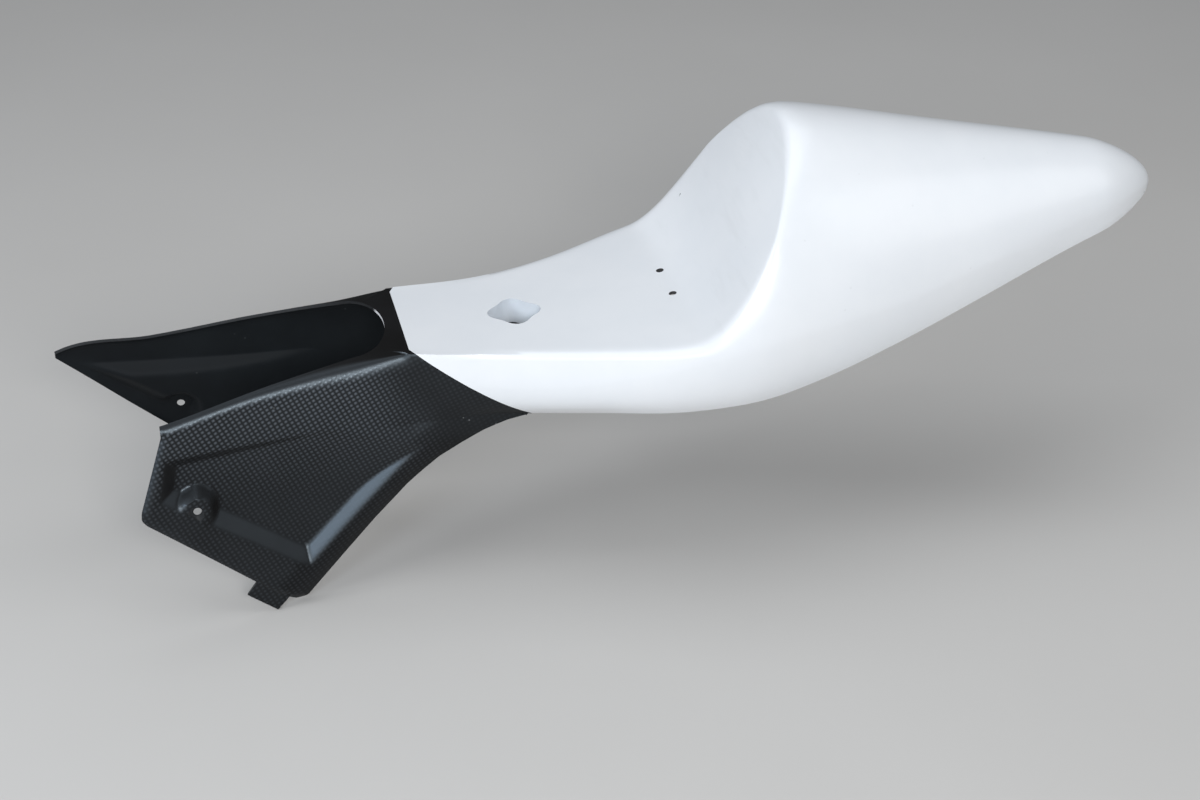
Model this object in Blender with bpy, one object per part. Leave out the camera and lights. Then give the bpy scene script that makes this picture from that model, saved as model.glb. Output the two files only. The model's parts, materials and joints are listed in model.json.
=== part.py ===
# Motorcycle tail fairing: a white single-seat shell and the black yoke that carries it at the front
#
# +Z is up and -Y is the front of the vehicle, so +X is its left side. The origin is on the seat,
# midway between the two screw holes that hold the tail to the frame under it. Sizes are in
# millimetres, and every mesh is scaled to metres when it is made.

import bpy
import numpy as np

MM = 0.001

# Laminate and clearances
SHELL_WALL = 2.8
YOKE_WALL = 2.4
GAP = 0.3
LAP_LENGTH = 16.0

# Seat floor: a long shallow arc, level with the origin at the screw holes
SEAT_FRONT_Y = -228.5
SEAT_LOW_Y = -146.5
SEAT_ARC_RADIUS = 877.0
SEAT_END_Y = -9.5
FRONT_CORNER = 4.0

# Backstop: a nearly flat face that leans back from the seat to the crest of the hump
CREST_Y = 94.5
BACKSTOP_SLOPE = 2.05
BACKSTOP_BLEND = 40.0
RIM_FOOT_REACH = 42.0
RIM_HEAD_REACH = 56.0
RIM_HEAD_SLOPE = 2.65
RIM_ROUND = 5.0
RIM_STEP = 8.0
HUMP_CORNER = 1.45

# Body of the tail, as lengthwise lines at stations of Y
TIP_Y = 432.5
TIP_Z = 50.0
NOSE_LENGTH = 62.0
HALF_WIDTH = [(-230, 65), (-160, 75), (-80, 97), (-10, 121), (45, 129), (110, 121), (250, 84)]
HALF_WIDTH += [(355, 51), (433, 27)]
TOP_LINE = [(-230, 60), (-110, 95), (0, 160), (94.5, 150), (240, 121), (375, 93), (433, 80)]
BELT_LINE = [(-230, -38), (-90, -38), (0, -14), (70, 2), (180, 14), (355, 45), (433, 55)]
LOW_LINE = [(-230, -69), (-90, -69), (0, -63), (70, -54), (180, -25), (355, 22), (433, 38)]
TUCK = [(-230, 8), (-60, 11), (60, 12), (180, 6), (355, 2), (433, 1)]
SHOULDER_POWER = 0.7
TUCK_POWER = 2.4

# Lower edge: where the slanted front edge of the side meets it, and where it passes the hump
SIDE_FOOT_Y = -132.0
SIDE_MIDDLE_Y = 105.0
NOSE_SHARE = 0.45
JOINT_BOW = 7.0

# Opening in the seat, with a collar turned down from it
COLLAR_Y = -131.5
COLLAR_RADIUS = 20.6
COLLAR_LOBE = 2.2
COLLAR_DEPTH = 21.0
COLLAR_TAPER = 0.88
COLLAR_WALL = 2.4

# Screw holes in the seat
SCREW_SPACING = 43.0
SCREW_HOLE_RADIUS = 3.3

# Yoke: the corner line of the wings, and the edge of the notch between them
RIDGE_X = [(-516, 95), (-430, 81), (-369, 71), (-300, 64), (-250, 61)]
RIDGE_Z = [(-516, -57), (-504, -51.5), (-430, -42.3), (-369, -30), (-300, -19), (-258, -13)]
RIDGE_ROUND = [(-516, 4.5), (-430, 4.5), (-320, 7.5), (-275, 9), (-245, 5), (-224.5, 2.2)]
RIDGE_REACH = [(-516, 4.5), (-430, 5), (-320, 9), (-275, 15), (-224.5, 18)]
NOTCH_REAR_Y = -241.5
NOTCH_CORNER_Y = -272.0
FLANGE_WIDTH = [(-516, 6), (-345, 6.5), (-300, 10), (-272, 13.5)]
NOTCH_Z = [(-516, -53), (-504, -47.5), (-430, -38.3), (-342, -21.5), (-300, -15)]
NOTCH_Z += [(-272, -11.5), (-241.5, -8.5)]
WING_LEAN = 0.17
WING_BLEND_LENGTH = 75.0
JOINT_STEP = 6.0
CORNER_CLEARANCE = 0.8
CORNER_THINNING = 0.25
LAP_SKIP_TOP = 1
LAP_SKIP_FOOT = 3
NEARBY = 0.02

# Outline of the wings as (Y, Z): the left one ends in a blunt edge, the right one in a point
WING_FRONT_Y = -433.0
WING_NOSE = (-457.0, -114.0)
TIP_NOSE = (-457.0, -107.5)
WING_TIP_Y = -511.0
WING_FOOT = (-332.0, -216.0)
WING_REAR_EDGE = [(-269, -148), (-211, -103), (-174, -85), (-152, -76)]
CORNER_ROUND = 7.0
EDGE_ROLL = 2.5
EDGE_ROLL_WIDTH = 7.0
REAR_TUCK = 13.0
REAR_TUCK_WIDTH = 34.0

# Recess in each wing, by the corners of its mouth, and the boss in its lower front corner
RECESS_TOP_FRONT = (-432.0, -66.0)
RECESS_REAR = (-205.0, -62.0)
RECESS_FOOT = (-330.0, -177.0)
RECESS_LOW_FRONT = (-440.0, -101.0)
RECESS_DEPTH = 10.0
RECESS_WALL_WIDTH = 12.0
RECESS_FADE_Y = -300.0
RECESS_FADE_LENGTH = 100.0
RECESS_FADE_DROP = 60.0
RECESS_ROUND = 2.5
BOSS_Y = -410.5
BOSS_Z = -114.0
BOSS_RADIUS = 11.0
BOSS_SHOULDER = 7.0
WING_HOLE_RADIUS = 3.4
COUNTERSINK_RADIUS = 5.8
COUNTERSINK_DEPTH = 1.2
CUTTER_REACH = 12.0
CUTTER_MARGIN = 5.0

# Tongue below the lower edge of each wing
TONGUE_Y = -356.0
TONGUE_WIDTH = 34.0
TONGUE_REACH = 13.0
TONGUE_ROOT = 12.0
TONGUE_INSET = 1.0
TONGUE_THICKNESS = 2.4

# Mesh fineness
SEAT_ROWS = 13
HUMP_ROWS = 12
TOP_COLUMNS = 14
SIDE_COLUMNS = 16
NOTCH_ROWS = 6
WING_ROWS = 21
WING_COLUMNS = 20
BRIDGE_COLUMNS = 6
ROUND_STEPS = 4


def along(stations, y):
    """A smooth line through (y, value) stations: cubics that share their slopes at the stations."""
    ys, values = np.array(stations, float).T
    slopes = np.gradient(values, ys)
    y = np.clip(y, ys[0], ys[-1])
    k = np.clip(np.searchsorted(ys, y) - 1, 0, len(ys) - 2)
    step = ys[k + 1] - ys[k]
    t = (y - ys[k]) / step
    first = values[k] * (1 + 2 * t) * (1 - t) ** 2 + slopes[k] * step * t * (1 - t) ** 2
    last = values[k + 1] * t**2 * (3 - 2 * t) + slopes[k + 1] * step * t**2 * (t - 1)
    return first + last


def ramp(value):
    """0 to 1 with a level start and end."""
    value = np.clip(value, 0, 1)
    return value * value * (3 - 2 * value)


def soft_max(a, b, width):
    """The greater of the two, with the corner rounded over the given width."""
    share = np.clip(1 - np.abs(a - b) / width, 0, 1)
    return np.maximum(a, b) + share**2 * width / 4


def soft_min(a, b, width):
    return -soft_max(-a, -b, width)


def nose_scale(y):
    """1 along the body, falling to 0 at the tip along a quarter of an ellipse."""
    share = np.clip((y - TIP_Y + NOSE_LENGTH) / NOSE_LENGTH, 0, 1)
    return np.sqrt(np.clip(1 - share**2, 0, 1))


def half_width(y):
    return along(HALF_WIDTH, y) * nose_scale(y)


def level(stations, y):
    return TIP_Z + (along(stations, y) - TIP_Z) * nose_scale(y)


def seat_floor(y):
    return ((y - SEAT_LOW_Y) ** 2 - SEAT_LOW_Y**2) / (2 * SEAT_ARC_RADIUS)


def backstop_line(y):
    """Height of the centre line of the seat and the backstop."""
    face = level(TOP_LINE, CREST_Y) - (CREST_Y - y) * BACKSTOP_SLOPE
    return soft_max(seat_floor(y), face, BACKSTOP_BLEND)


def body_point(y, u):
    """The section at y: u 0 at the top, 1 at the belt, where it is widest, and 2 at the lower edge."""
    top, belt, low = level(TOP_LINE, y), level(BELT_LINE, y), level(LOW_LINE, y)
    angle = np.clip(u, 0, 1) * np.pi / 2
    down = np.clip(u - 1, 0, 1)
    tuck = along(TUCK, y) * nose_scale(y) * down**TUCK_POWER
    x = half_width(y) * np.sin(angle) - tuck
    z = belt + (top - belt) * np.cos(angle) ** (2 * SHOULDER_POWER) + (low - belt) * down
    return x, z


def section_shares(y):
    """Section parameters, and the share of the section's length up to each, for every y."""
    u = np.concatenate([np.linspace(0, 1, 49), np.linspace(1, 2, 17)[1:]])
    x, z = body_point(y[:, None], u[None, :])
    steps = np.hypot(np.diff(x, axis=1), np.diff(z, axis=1)) + 1e-9
    length = np.concatenate([np.zeros((len(y), 1)), np.cumsum(steps, axis=1)], axis=1)
    return u, length / length[:, -1:]


def body_at_share(y, share):
    """The point of the body at y that lies the given share of the way round its section."""
    u, shares = section_shares(y)
    k = np.clip((shares < share[:, None]).sum(axis=1), 1, len(u) - 1)
    rows = np.arange(len(y))
    before, after = shares[rows, k - 1], shares[rows, k]
    t = np.clip((share - before) / (after - before), 0, 1)
    x, z = body_point(y, u[k - 1] + t * (u[k] - u[k - 1]))
    return np.stack([x, y, z], axis=1)


def share_at_height(y, z):
    """The share of the section at y where its upper part passes the height z."""
    top, belt = level(TOP_LINE, y), level(BELT_LINE, y)
    rise = np.clip((z - belt) / (top - belt), 0, 1)
    wanted = np.arccos(rise ** (0.5 / SHOULDER_POWER)) * 2 / np.pi
    u, shares = section_shares(y)
    return np.array([np.interp(w, u, row) for w, row in zip(wanted, shares)])


def rim_line(s):
    """Y and Z of the seat's rim: along the shoulder for s up to 1, then up the hump to its crest at 2."""
    front = SEAT_FRONT_Y + FRONT_CORNER
    y_seat = front + (SEAT_END_Y - front) * np.clip(s, 0, 1)
    t = np.clip(s - 1, 0, 1)
    t = 1 - (1 - t) ** 1.5
    foot = np.array([SEAT_END_Y, seat_floor(SEAT_END_Y)])
    foot_slope = (SEAT_END_Y - SEAT_LOW_Y) / SEAT_ARC_RADIUS
    crest = np.array([CREST_Y, level(TOP_LINE, CREST_Y)])
    foot_arm = foot + RIM_FOOT_REACH * np.array([1, foot_slope])
    head_arm = crest - RIM_HEAD_REACH * np.array([1, RIM_HEAD_SLOPE]) / np.hypot(1, RIM_HEAD_SLOPE)
    weights = np.stack([(1 - t) ** 3, 3 * t * (1 - t) ** 2, 3 * t**2 * (1 - t), t**3])
    y_hump, z_hump = np.stack([foot, foot_arm, head_arm, crest]).T @ weights
    on_seat = s <= 1
    return np.where(on_seat, y_seat, y_hump), np.where(on_seat, seat_floor(y_seat), z_hump)


def centre_line(s):
    """Y and Z of the middle of the seat and the backstop, row by row with the rim."""
    y_seat = SEAT_FRONT_Y + (SEAT_END_Y - SEAT_FRONT_Y) * np.clip(s, 0, 1)
    y_back = np.linspace(SEAT_END_Y, CREST_Y, 200)
    z_back = backstop_line(y_back)
    z_back[-1] = level(TOP_LINE, CREST_Y)
    length = np.concatenate([[0], np.cumsum(np.hypot(np.diff(y_back), np.diff(z_back)))])
    t = np.clip(s - 1, 0, 1)
    y_up = np.interp((1 - (1 - t) ** 1.5) * length[-1], length, y_back)
    z_up = np.interp(y_up, y_back, z_back)
    on_seat = s <= 1
    return np.where(on_seat, y_seat, y_up), np.where(on_seat, seat_floor(y_seat), z_up)


def rim_points(s):
    y, z = rim_line(s)
    top, belt = level(TOP_LINE, y), level(BELT_LINE, y)
    rise = np.clip((z - belt) / (top - belt), 0, 1)
    x = half_width(y) * np.sqrt(np.clip(1 - rise ** (1 / SHOULDER_POWER), 0, 1))
    return np.stack([x, y, z], axis=1)


def seat_point(s, t):
    """The seat and the backstop: row s of the rim, and t from -1 at the right rim to 1 at the left."""
    rim = rim_points(s)
    y_mid, z_mid = centre_line(s)
    x = t * rim[:, 0]
    corner = np.clip((np.abs(x) - rim[:, 0] + RIM_STEP) / RIM_STEP, 0, 1)
    bow = np.where(s < 1, corner, t**2)
    y = y_mid + (rim[:, 1] - y_mid) * bow
    z = z_mid + (rim[:, 2] - z_mid) * t**2
    return np.stack([x, y, z], axis=1)


def side_point(s, q):
    """The outside of the left half: from the rim at q 0 to the lower edge or the tip at q 1."""
    y_rim, z_rim = rim_line(s)
    on_nose = np.clip((s - 1 - NOSE_SHARE) / (1 - NOSE_SHARE), 0, 1)
    y_low = np.interp(s, [0, 1, 1 + NOSE_SHARE], [SIDE_FOOT_Y, SIDE_MIDDLE_Y, TIP_Y])
    q = 1 - (1 - q) ** (1 + 0.5 * np.clip(s - 1, 0, 1))
    y = y_rim + (y_low - y_rim) * q - 4 * JOINT_BOW * q * (1 - q) * np.clip(1 - s, 0, 1)
    share_rim = share_at_height(y_rim, z_rim)
    share = share_rim + (1 - on_nose - share_rim) * q
    return body_at_share(y, share)


def mesh_object(name, points, faces, hidden=False):
    """A mesh object from points in millimetres, with points that coincide made one."""
    _, first, index = np.unique(np.round(points, 4), axis=0, return_index=True, return_inverse=True)
    index = index.reshape(-1)
    kept = []
    for face in faces:
        ring = [int(index[k]) for k in face]
        ring = [p for n, p in enumerate(ring) if p != ring[n - 1]]
        if len(set(ring)) > 2:
            kept.append(ring)
    mesh = bpy.data.meshes.new(name)
    mesh.from_pydata((points[first] * MM).tolist(), [], kept)
    mesh.update()
    obj = bpy.data.objects.new(name, mesh)
    bpy.context.scene.collection.objects.link(obj)
    if hidden:
        obj.hide_render = True
        obj.display_type = "WIRE"
    return obj, index


def grid_faces(rows, columns, start=0, turned=False):
    faces = []
    for i in range(rows - 1):
        for j in range(columns - 1):
            a = start + i * columns + j
            face = [a, a + 1, a + columns + 1, a + columns]
            faces.append(face[::-1] if turned else face)
    return faces


def paint(obj, name, colour, roughness):
    material = bpy.data.materials.new(name)
    material.use_nodes = True
    shader = material.node_tree.nodes["Principled BSDF"]
    shader.inputs["Base Color"].default_value = (*colour, 1)
    shader.inputs["Roughness"].default_value = roughness
    obj.data.materials.append(material)


def smooth(obj, angle=0.6):
    obj.data.shade_smooth()
    obj.data.set_sharp_from_angle(angle=angle)


def boolean(obj, other, operation):
    modifier = obj.modifiers.new(f"{operation.lower()} {other.name}", "BOOLEAN")
    modifier.operation = operation
    modifier.solver = "EXACT"
    modifier.object = other


def thicken(obj, wall):
    modifier = obj.modifiers.new("wall", "SOLIDIFY")
    modifier.thickness = wall * MM
    modifier.offset = -1
    modifier.use_even_offset = True
    return modifier


def rod(name, start, end, radius_start, radius_end, sides=24):
    """A hidden round cutter between two points, which may taper."""
    start, end = np.array(start, float), np.array(end, float)
    axis = (end - start) / np.linalg.norm(end - start)
    side = np.cross(axis, [0, 1, 0] if abs(axis[1]) < 0.9 else [1, 0, 0])
    side /= np.linalg.norm(side)
    other = np.cross(axis, side)
    turn = np.linspace(0, 2 * np.pi, sides, endpoint=False)[:, None]
    ring = np.cos(turn) * side + np.sin(turn) * other
    points = np.concatenate([start + radius_start * ring, end + radius_end * ring])
    faces = [[k, (k + 1) % sides, sides + (k + 1) % sides, sides + k] for k in range(sides)]
    faces += [list(range(sides))[::-1], list(range(sides, 2 * sides))]
    return mesh_object(name, points, faces, hidden=True)[0]


def rim_steps():
    """Rim positions, front to crest, and how many end a row of the seat; the rest end its columns."""
    rows = np.concatenate([np.linspace(0, 1, SEAT_ROWS), np.linspace(1, HUMP_CORNER, HUMP_ROWS)[1:]])
    s = np.linspace(HUMP_CORNER, 2, 400)
    x = rim_points(s)[:, 0]
    wanted = x[0] * np.linspace(1, 0, TOP_COLUMNS // 2 + 1)[1:]
    arch = np.interp(wanted, x[::-1], s[::-1])
    arch[-1] = 2
    return np.concatenate([rows, arch]), len(rows)


def inner_steps(count, length):
    """Steps from 0 to 1, where the last one keeps room for the rounding of the rim."""
    last = min(RIM_STEP / length, 0.5)
    return np.append(np.linspace(0, 1 - last, count), 1)


def seat_grid(rim, row_count):
    """The seat and the backstop: straight rows up to the corner of the hump, then rows bent to its arch."""
    rows = rim[:row_count]
    half = TOP_COLUMNS // 2
    grid = []
    for s in rows[:SEAT_ROWS]:
        edge = rim_points(np.array([s]))[0, 0]
        t = inner_steps(half, edge)
        t = np.concatenate([-t[::-1], t[1:]])
        grid.append(seat_point(np.full(len(t), s), t))
    t = np.linspace(-1, 1, TOP_COLUMNS + 1)
    s_low, s_high = rows[SEAT_ROWS - 1], rows[-1]
    arch = np.concatenate([rim[row_count - 1 :], rim[row_count - 1 : -1][::-1]])
    x_low = grid[-1][:, 0]
    x_arch = np.sign(t) * rim_points(arch)[:, 0]
    height = level(TOP_LINE, CREST_Y) - seat_floor(SEAT_END_Y)
    share = (rows[SEAT_ROWS:] - s_low) / (s_high - s_low)
    share = share / (1 + RIM_STEP / height)
    share[-1] = 1
    for n, v in enumerate(share):
        side = rows[SEAT_ROWS + n]
        x_side = rim_points(np.array([side]))[0, 0]
        x = (1 - v) * x_low + v * x_arch + t * (x_side - (1 - v) * x_low[-1] - v * x_arch[-1])
        s = (1 - v) * s_low + v * arch + side - (1 - v) * s_low - v * s_high
        edge = rim_points(s)[:, 0]
        grid.append(seat_point(s, np.where(edge > 0.01, x / np.maximum(edge, 0.01), 0)))
    return np.array(grid)


def side_grid(rim):
    """The outside of the left half, line by line from the rim down to the lower edge or back to the tip."""
    lines = []
    for s in rim:
        ends = side_point(np.array([s, s]), np.array([0.0, 1.0]))
        q = 1 - inner_steps(SIDE_COLUMNS, np.linalg.norm(ends[1] - ends[0]))[::-1]
        line = side_point(np.full(len(q), s), q)
        line[0] = rim_points(np.array([s]))[0]
        lines.append(line)
    return np.array(lines)


def collar_body(name, top, grow, depth):
    """A hidden tapered block with the outline of the seat opening, widened by grow."""
    turn = np.linspace(0, 2 * np.pi, 48, endpoint=False)
    outline = COLLAR_RADIUS + COLLAR_LOBE * np.cos(4 * turn) + grow
    levels = np.linspace(0, 1, 5)
    middle = seat_floor(COLLAR_Y)
    points = []
    for share in levels:
        z = middle + top - (top + depth) * share
        below = np.clip((middle - z) / COLLAR_DEPTH, -0.2, 1.2)
        scale = 1 - (1 - COLLAR_TAPER) * np.clip(below, 0, None) ** 1.3
        radius = (outline - grow) * scale + grow
        points += [(r * np.cos(a), COLLAR_Y + r * np.sin(a), z) for r, a in zip(radius, turn)]
    count = len(turn)
    faces = []
    for i in range(len(levels) - 1):
        for k in range(count):
            a, b = i * count + k, i * count + (k + 1) % count
            faces.append([a, a + count, b + count, b])
    faces.append(list(range(count)))
    last = (len(levels) - 1) * count
    faces.append([last + k for k in range(count)][::-1])
    return mesh_object(name, np.array(points), faces, hidden=True)[0]


def seat_shell():
    """White moulding: seat, backstop, hump, tail and sides in one laminate, open underneath."""
    rim, row_count = rim_steps()
    top, side = seat_grid(rim, row_count), side_grid(rim)
    top[:, -1] = side[:row_count, 0]
    top[:, 0] = top[:, -1] * [-1, 1, 1]
    half = TOP_COLUMNS // 2
    top[-1, half:] = side[row_count - 1 :, 0][::-1]
    top[-1, : half + 1] = top[-1, half:][::-1] * [-1, 1, 1]
    pieces = [top.reshape(-1, 3), side.reshape(-1, 3), side.reshape(-1, 3) * [-1, 1, 1]]
    starts = np.cumsum([0] + [len(piece) for piece in pieces])
    faces = grid_faces(*top.shape[:2])
    faces += grid_faces(*side.shape[:2], start=starts[1])
    faces += grid_faces(*side.shape[:2], start=starts[2], turned=True)
    obj, index = mesh_object("seat_shell", np.concatenate(pieces) + 0.0, faces)
    firsts = [index[starts[k] + np.arange(len(rim)) * side.shape[1]] for k in (1, 2)]
    weigh_edges(obj, firsts)
    bevel = obj.modifiers.new("rim", "BEVEL")
    bevel.limit_method = "WEIGHT"
    bevel.width = RIM_ROUND * MM
    bevel.segments = 3
    thicken(obj, SHELL_WALL)
    boolean(obj, collar_body("collar_outside", -SHELL_WALL / 2, COLLAR_WALL, COLLAR_DEPTH), "UNION")
    inside = collar_body("collar_inside", CUTTER_MARGIN, 0.0, COLLAR_DEPTH + CUTTER_MARGIN)
    boolean(obj, inside, "DIFFERENCE")
    for name, x in (("left", SCREW_SPACING / 2), ("right", -SCREW_SPACING / 2)):
        ends = (x, 0, -CUTTER_REACH), (x, 0, CUTTER_REACH)
        boolean(obj, rod(f"screw_cutter_{name}", *ends, SCREW_HOLE_RADIUS, SCREW_HOLE_RADIUS), "DIFFERENCE")
    smooth(obj)
    paint(obj, "white gel coat", (0.80, 0.82, 0.85), 0.35)
    return obj


def weigh_edges(obj, lines):
    """Gives bevel weight to the edges that join neighbours of each line of points."""
    wanted = {frozenset((int(a), int(b))) for line in lines for a, b in zip(line[:-1], line[1:])}
    weights = obj.data.attributes.new("bevel_weight_edge", "FLOAT", "EDGE")
    for edge in obj.data.edges:
        if frozenset(edge.vertices) in wanted:
            weights.data[edge.index].value = 1


def shoulder_x(y):
    """Half width of the body where it passes the height of the seat."""
    top, belt = level(TOP_LINE, y), level(BELT_LINE, y)
    rise = np.clip((seat_floor(y) - belt) / (top - belt), 0, 1)
    return half_width(y) * np.sqrt(1 - rise ** (1 / SHOULDER_POWER))


def ridge(y):
    """X and Z of the corner line between the top of the yoke and the outside of a wing."""
    seam = SEAT_FRONT_Y + FRONT_CORNER
    behind = [(v, float(shoulder_x(v))) for v in (seam, -180.0, SIDE_FOOT_Y)]
    floor = [(v, float(seat_floor(v))) for v in (seam, -180.0, SIDE_FOOT_Y)]
    return along(RIDGE_X + behind, y), along(RIDGE_Z + floor, y)


def body_x(y, z):
    """Half width of the tail's body at a height, also below the belt."""
    top, belt, low = level(TOP_LINE, y), level(BELT_LINE, y), level(LOW_LINE, y)
    rise = np.clip((z - belt) / (top - belt), 0, 1)
    down = np.clip((belt - z) / (belt - low), 0, 1)
    upper = half_width(y) * np.sqrt(1 - rise ** (1 / SHOULDER_POWER))
    return upper - along(TUCK, y) * down**TUCK_POWER


def past_line(y, z, a, b):
    """Distance of (y, z) to the left of the line from a to b."""
    direction = np.array(b, float) - np.array(a, float)
    direction /= np.linalg.norm(direction)
    return direction[0] * (z - a[1]) - direction[1] * (y - a[0])


def near_path(y, z, path):
    """Distance of (y, z) from a line of points."""
    found = np.full(np.shape(y), 1e6)
    for a, b in zip(path[:-1], path[1:]):
        a, b = np.array(a, float), np.array(b, float)
        step = b - a
        t = np.clip(((y - a[0]) * step[0] + (z - a[1]) * step[1]) / (step @ step), 0, 1)
        found = np.minimum(found, np.hypot(y - a[0] - t * step[0], z - a[1] - t * step[1]))
    return found


def recess(y, z, pointed):
    """Depth of the hollow in a wing: a floor that fades out to the rear, in sloping walls, less the boss."""
    corners = [RECESS_REAR, RECESS_TOP_FRONT, RECESS_LOW_FRONT, RECESS_FOOT]
    sides = [(0, 1), (2, 3), (3, 0)] if pointed else [(0, 1), (1, 2), (2, 3), (3, 0)]
    inside = np.full(np.shape(y), 1e6)
    for a, b in sides:
        inside = soft_min(inside, past_line(y, z, corners[a], corners[b]), RECESS_ROUND)
    fade = (RECESS_FADE_Y - y) / RECESS_FADE_LENGTH + (RECESS_REAR[1] - z) / RECESS_FADE_DROP
    fade = np.clip(fade, 0, 1)
    slope = RECESS_DEPTH / RECESS_WALL_WIDTH
    depth = soft_min(RECESS_DEPTH * fade, slope * np.clip(inside, 0, None), RECESS_ROUND)
    boss = ramp((np.hypot(y - BOSS_Y, z - BOSS_Z) - BOSS_RADIUS) / BOSS_SHOULDER)
    return np.clip(depth, 0, None) * boss


def wing_x(y, z, pointed):
    """Outside of a wing: the body's side at the seam, then a leaning sheet with rolled edges and a recess."""
    x_ridge, z_ridge = ridge(y)
    sheet = x_ridge + WING_LEAN * (z_ridge - z)
    start = (SEAT_FRONT_Y + FRONT_CORNER, float(seat_floor(SEAT_FRONT_Y)))
    end = (SIDE_FOOT_Y, float(level(LOW_LINE, SIDE_FOOT_Y)))
    away = np.clip(-past_line(y, z, start, end), 0, None)
    share = ramp(away / WING_BLEND_LENGTH)
    x = body_x(y, z) * (1 - share) + sheet * share
    rear, front = wing_edges(pointed)
    x -= share * REAR_TUCK * np.clip(1 - near_path(y, z, rear) / REAR_TUCK_WIDTH, 0, 1) ** 2
    x -= EDGE_ROLL * np.clip(1 - near_path(y, z, front) / EDGE_ROLL_WIDTH, 0, 1) ** 2
    return x - recess(y, z, pointed)


def wing_edges(pointed):
    """The rear edge and the front edge of a wing in the side view, each ending at the rounded foot."""
    foot = np.array(WING_FOOT)
    nose = np.array(TIP_NOSE if pointed else WING_NOSE)
    up = np.array(WING_REAR_EDGE[0]) - foot
    ahead = nose - foot
    rear_stop = foot + CORNER_ROUND * up / np.linalg.norm(up)
    front_stop = foot + CORNER_ROUND * ahead / np.linalg.norm(ahead)
    middle = (rear_stop + front_stop + 2 * foot) / 4
    foot_y, foot_z = SIDE_FOOT_Y, float(level(LOW_LINE, SIDE_FOOT_Y))
    rear = [(foot_y, foot_z), *WING_REAR_EDGE[::-1], tuple(rear_stop), tuple(middle)]
    y_front = WING_TIP_Y if pointed else WING_FRONT_Y
    z_front = float(ridge(np.array(y_front))[1]) - float(along(RIDGE_REACH, y_front))
    top_front = np.array([y_front, z_front])
    to_top = (top_front - nose) / np.linalg.norm(top_front - nose)
    to_foot = (foot - nose) / np.linalg.norm(foot - nose)
    corner = [nose + CORNER_ROUND * step for step in (to_top, (to_top + to_foot) / 4, to_foot)]
    front = [tuple(top_front), *map(tuple, corner), tuple(front_stop), tuple(middle)]
    return rear, front


def spaced(path, shares):
    """Points at the given shares of the length of a line of points."""
    path = np.array(path, float)
    length = np.concatenate([[0], np.cumsum(np.linalg.norm(np.diff(path, axis=0), axis=1))])
    wanted = np.array(shares) * length[-1]
    return np.stack([np.interp(wanted, length, path[:, k]) for k in range(path.shape[1])], axis=1)


def joint_line(s):
    """A line over the shell at rim position s: round its shoulder, then down its side to the lower edge."""
    y = SEAT_FRONT_Y + FRONT_CORNER
    size, reach = float(along(RIDGE_ROUND, y)), float(along(RIDGE_REACH, y))
    corner = rim_points(np.array([s]))[0]
    inner = seat_point(np.array([s]), np.array([1 - size / corner[0]]))[0]
    half = ROUND_STEPS // 2
    upper = np.linspace(joint_share(size), joint_share(reach), half + 1)[:-1]
    shares = np.concatenate([upper, joint_shares()])
    side = side_point(np.full(len(shares), s), shares)
    return np.concatenate([bent(inner, corner, side[0], half)[:-1], side])


def joint_share(distance):
    """Share of the way down the side at the joint that a distance from the rim makes."""
    return distance / np.linalg.norm(np.subtract(*side_point(np.zeros(2), np.array([0.0, 1.0]))))


def joint_shares():
    """Shares of the way down the side at the joint, below the rounded shoulder."""
    first = joint_share(float(along(RIDGE_REACH, SEAT_FRONT_Y + FRONT_CORNER)))
    return np.linspace(first, 1, WING_COLUMNS + 1)


def bent(start, corner, end, steps):
    """Points of a curve that leaves the start toward the corner and comes to the end from it."""
    t = np.linspace(0, 1, steps + 1)[:, None]
    return (1 - t) ** 2 * start + 2 * t * (1 - t) * corner + t**2 * end


def joint_rows():
    """The yoke's first row, a gap ahead of the shell, and a second that carries the shell's surface on."""
    edge = joint_line(0)
    slant = edge[-1] - edge[ROUND_STEPS]
    off = np.array([0, slant[2], -slant[1]]) / np.hypot(slant[1], slant[2])
    share = np.clip(np.arange(len(edge)) / ROUND_STEPS, 0, 1)[:, None]
    first = edge + GAP * (share * off + (1 - share) * [0, -1, 0])
    first[:, 1] -= CORNER_CLEARANCE * np.clip(2 - 2 * np.arange(len(edge)) / ROUND_STEPS, 0, 1)
    ahead = edge - joint_line(NEARBY)
    ahead /= np.linalg.norm(ahead, axis=1)[:, None]
    return first, first + JOINT_STEP * ahead


def wing_rows(pointed):
    y_front = WING_TIP_Y if pointed else WING_FRONT_Y
    first = np.linspace(SEAT_FRONT_Y + FRONT_CORNER, NOTCH_CORNER_Y, NOTCH_ROWS + 1)
    return np.concatenate([first, np.linspace(NOTCH_CORNER_Y, y_front, WING_ROWS + 1)[1:]])


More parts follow.
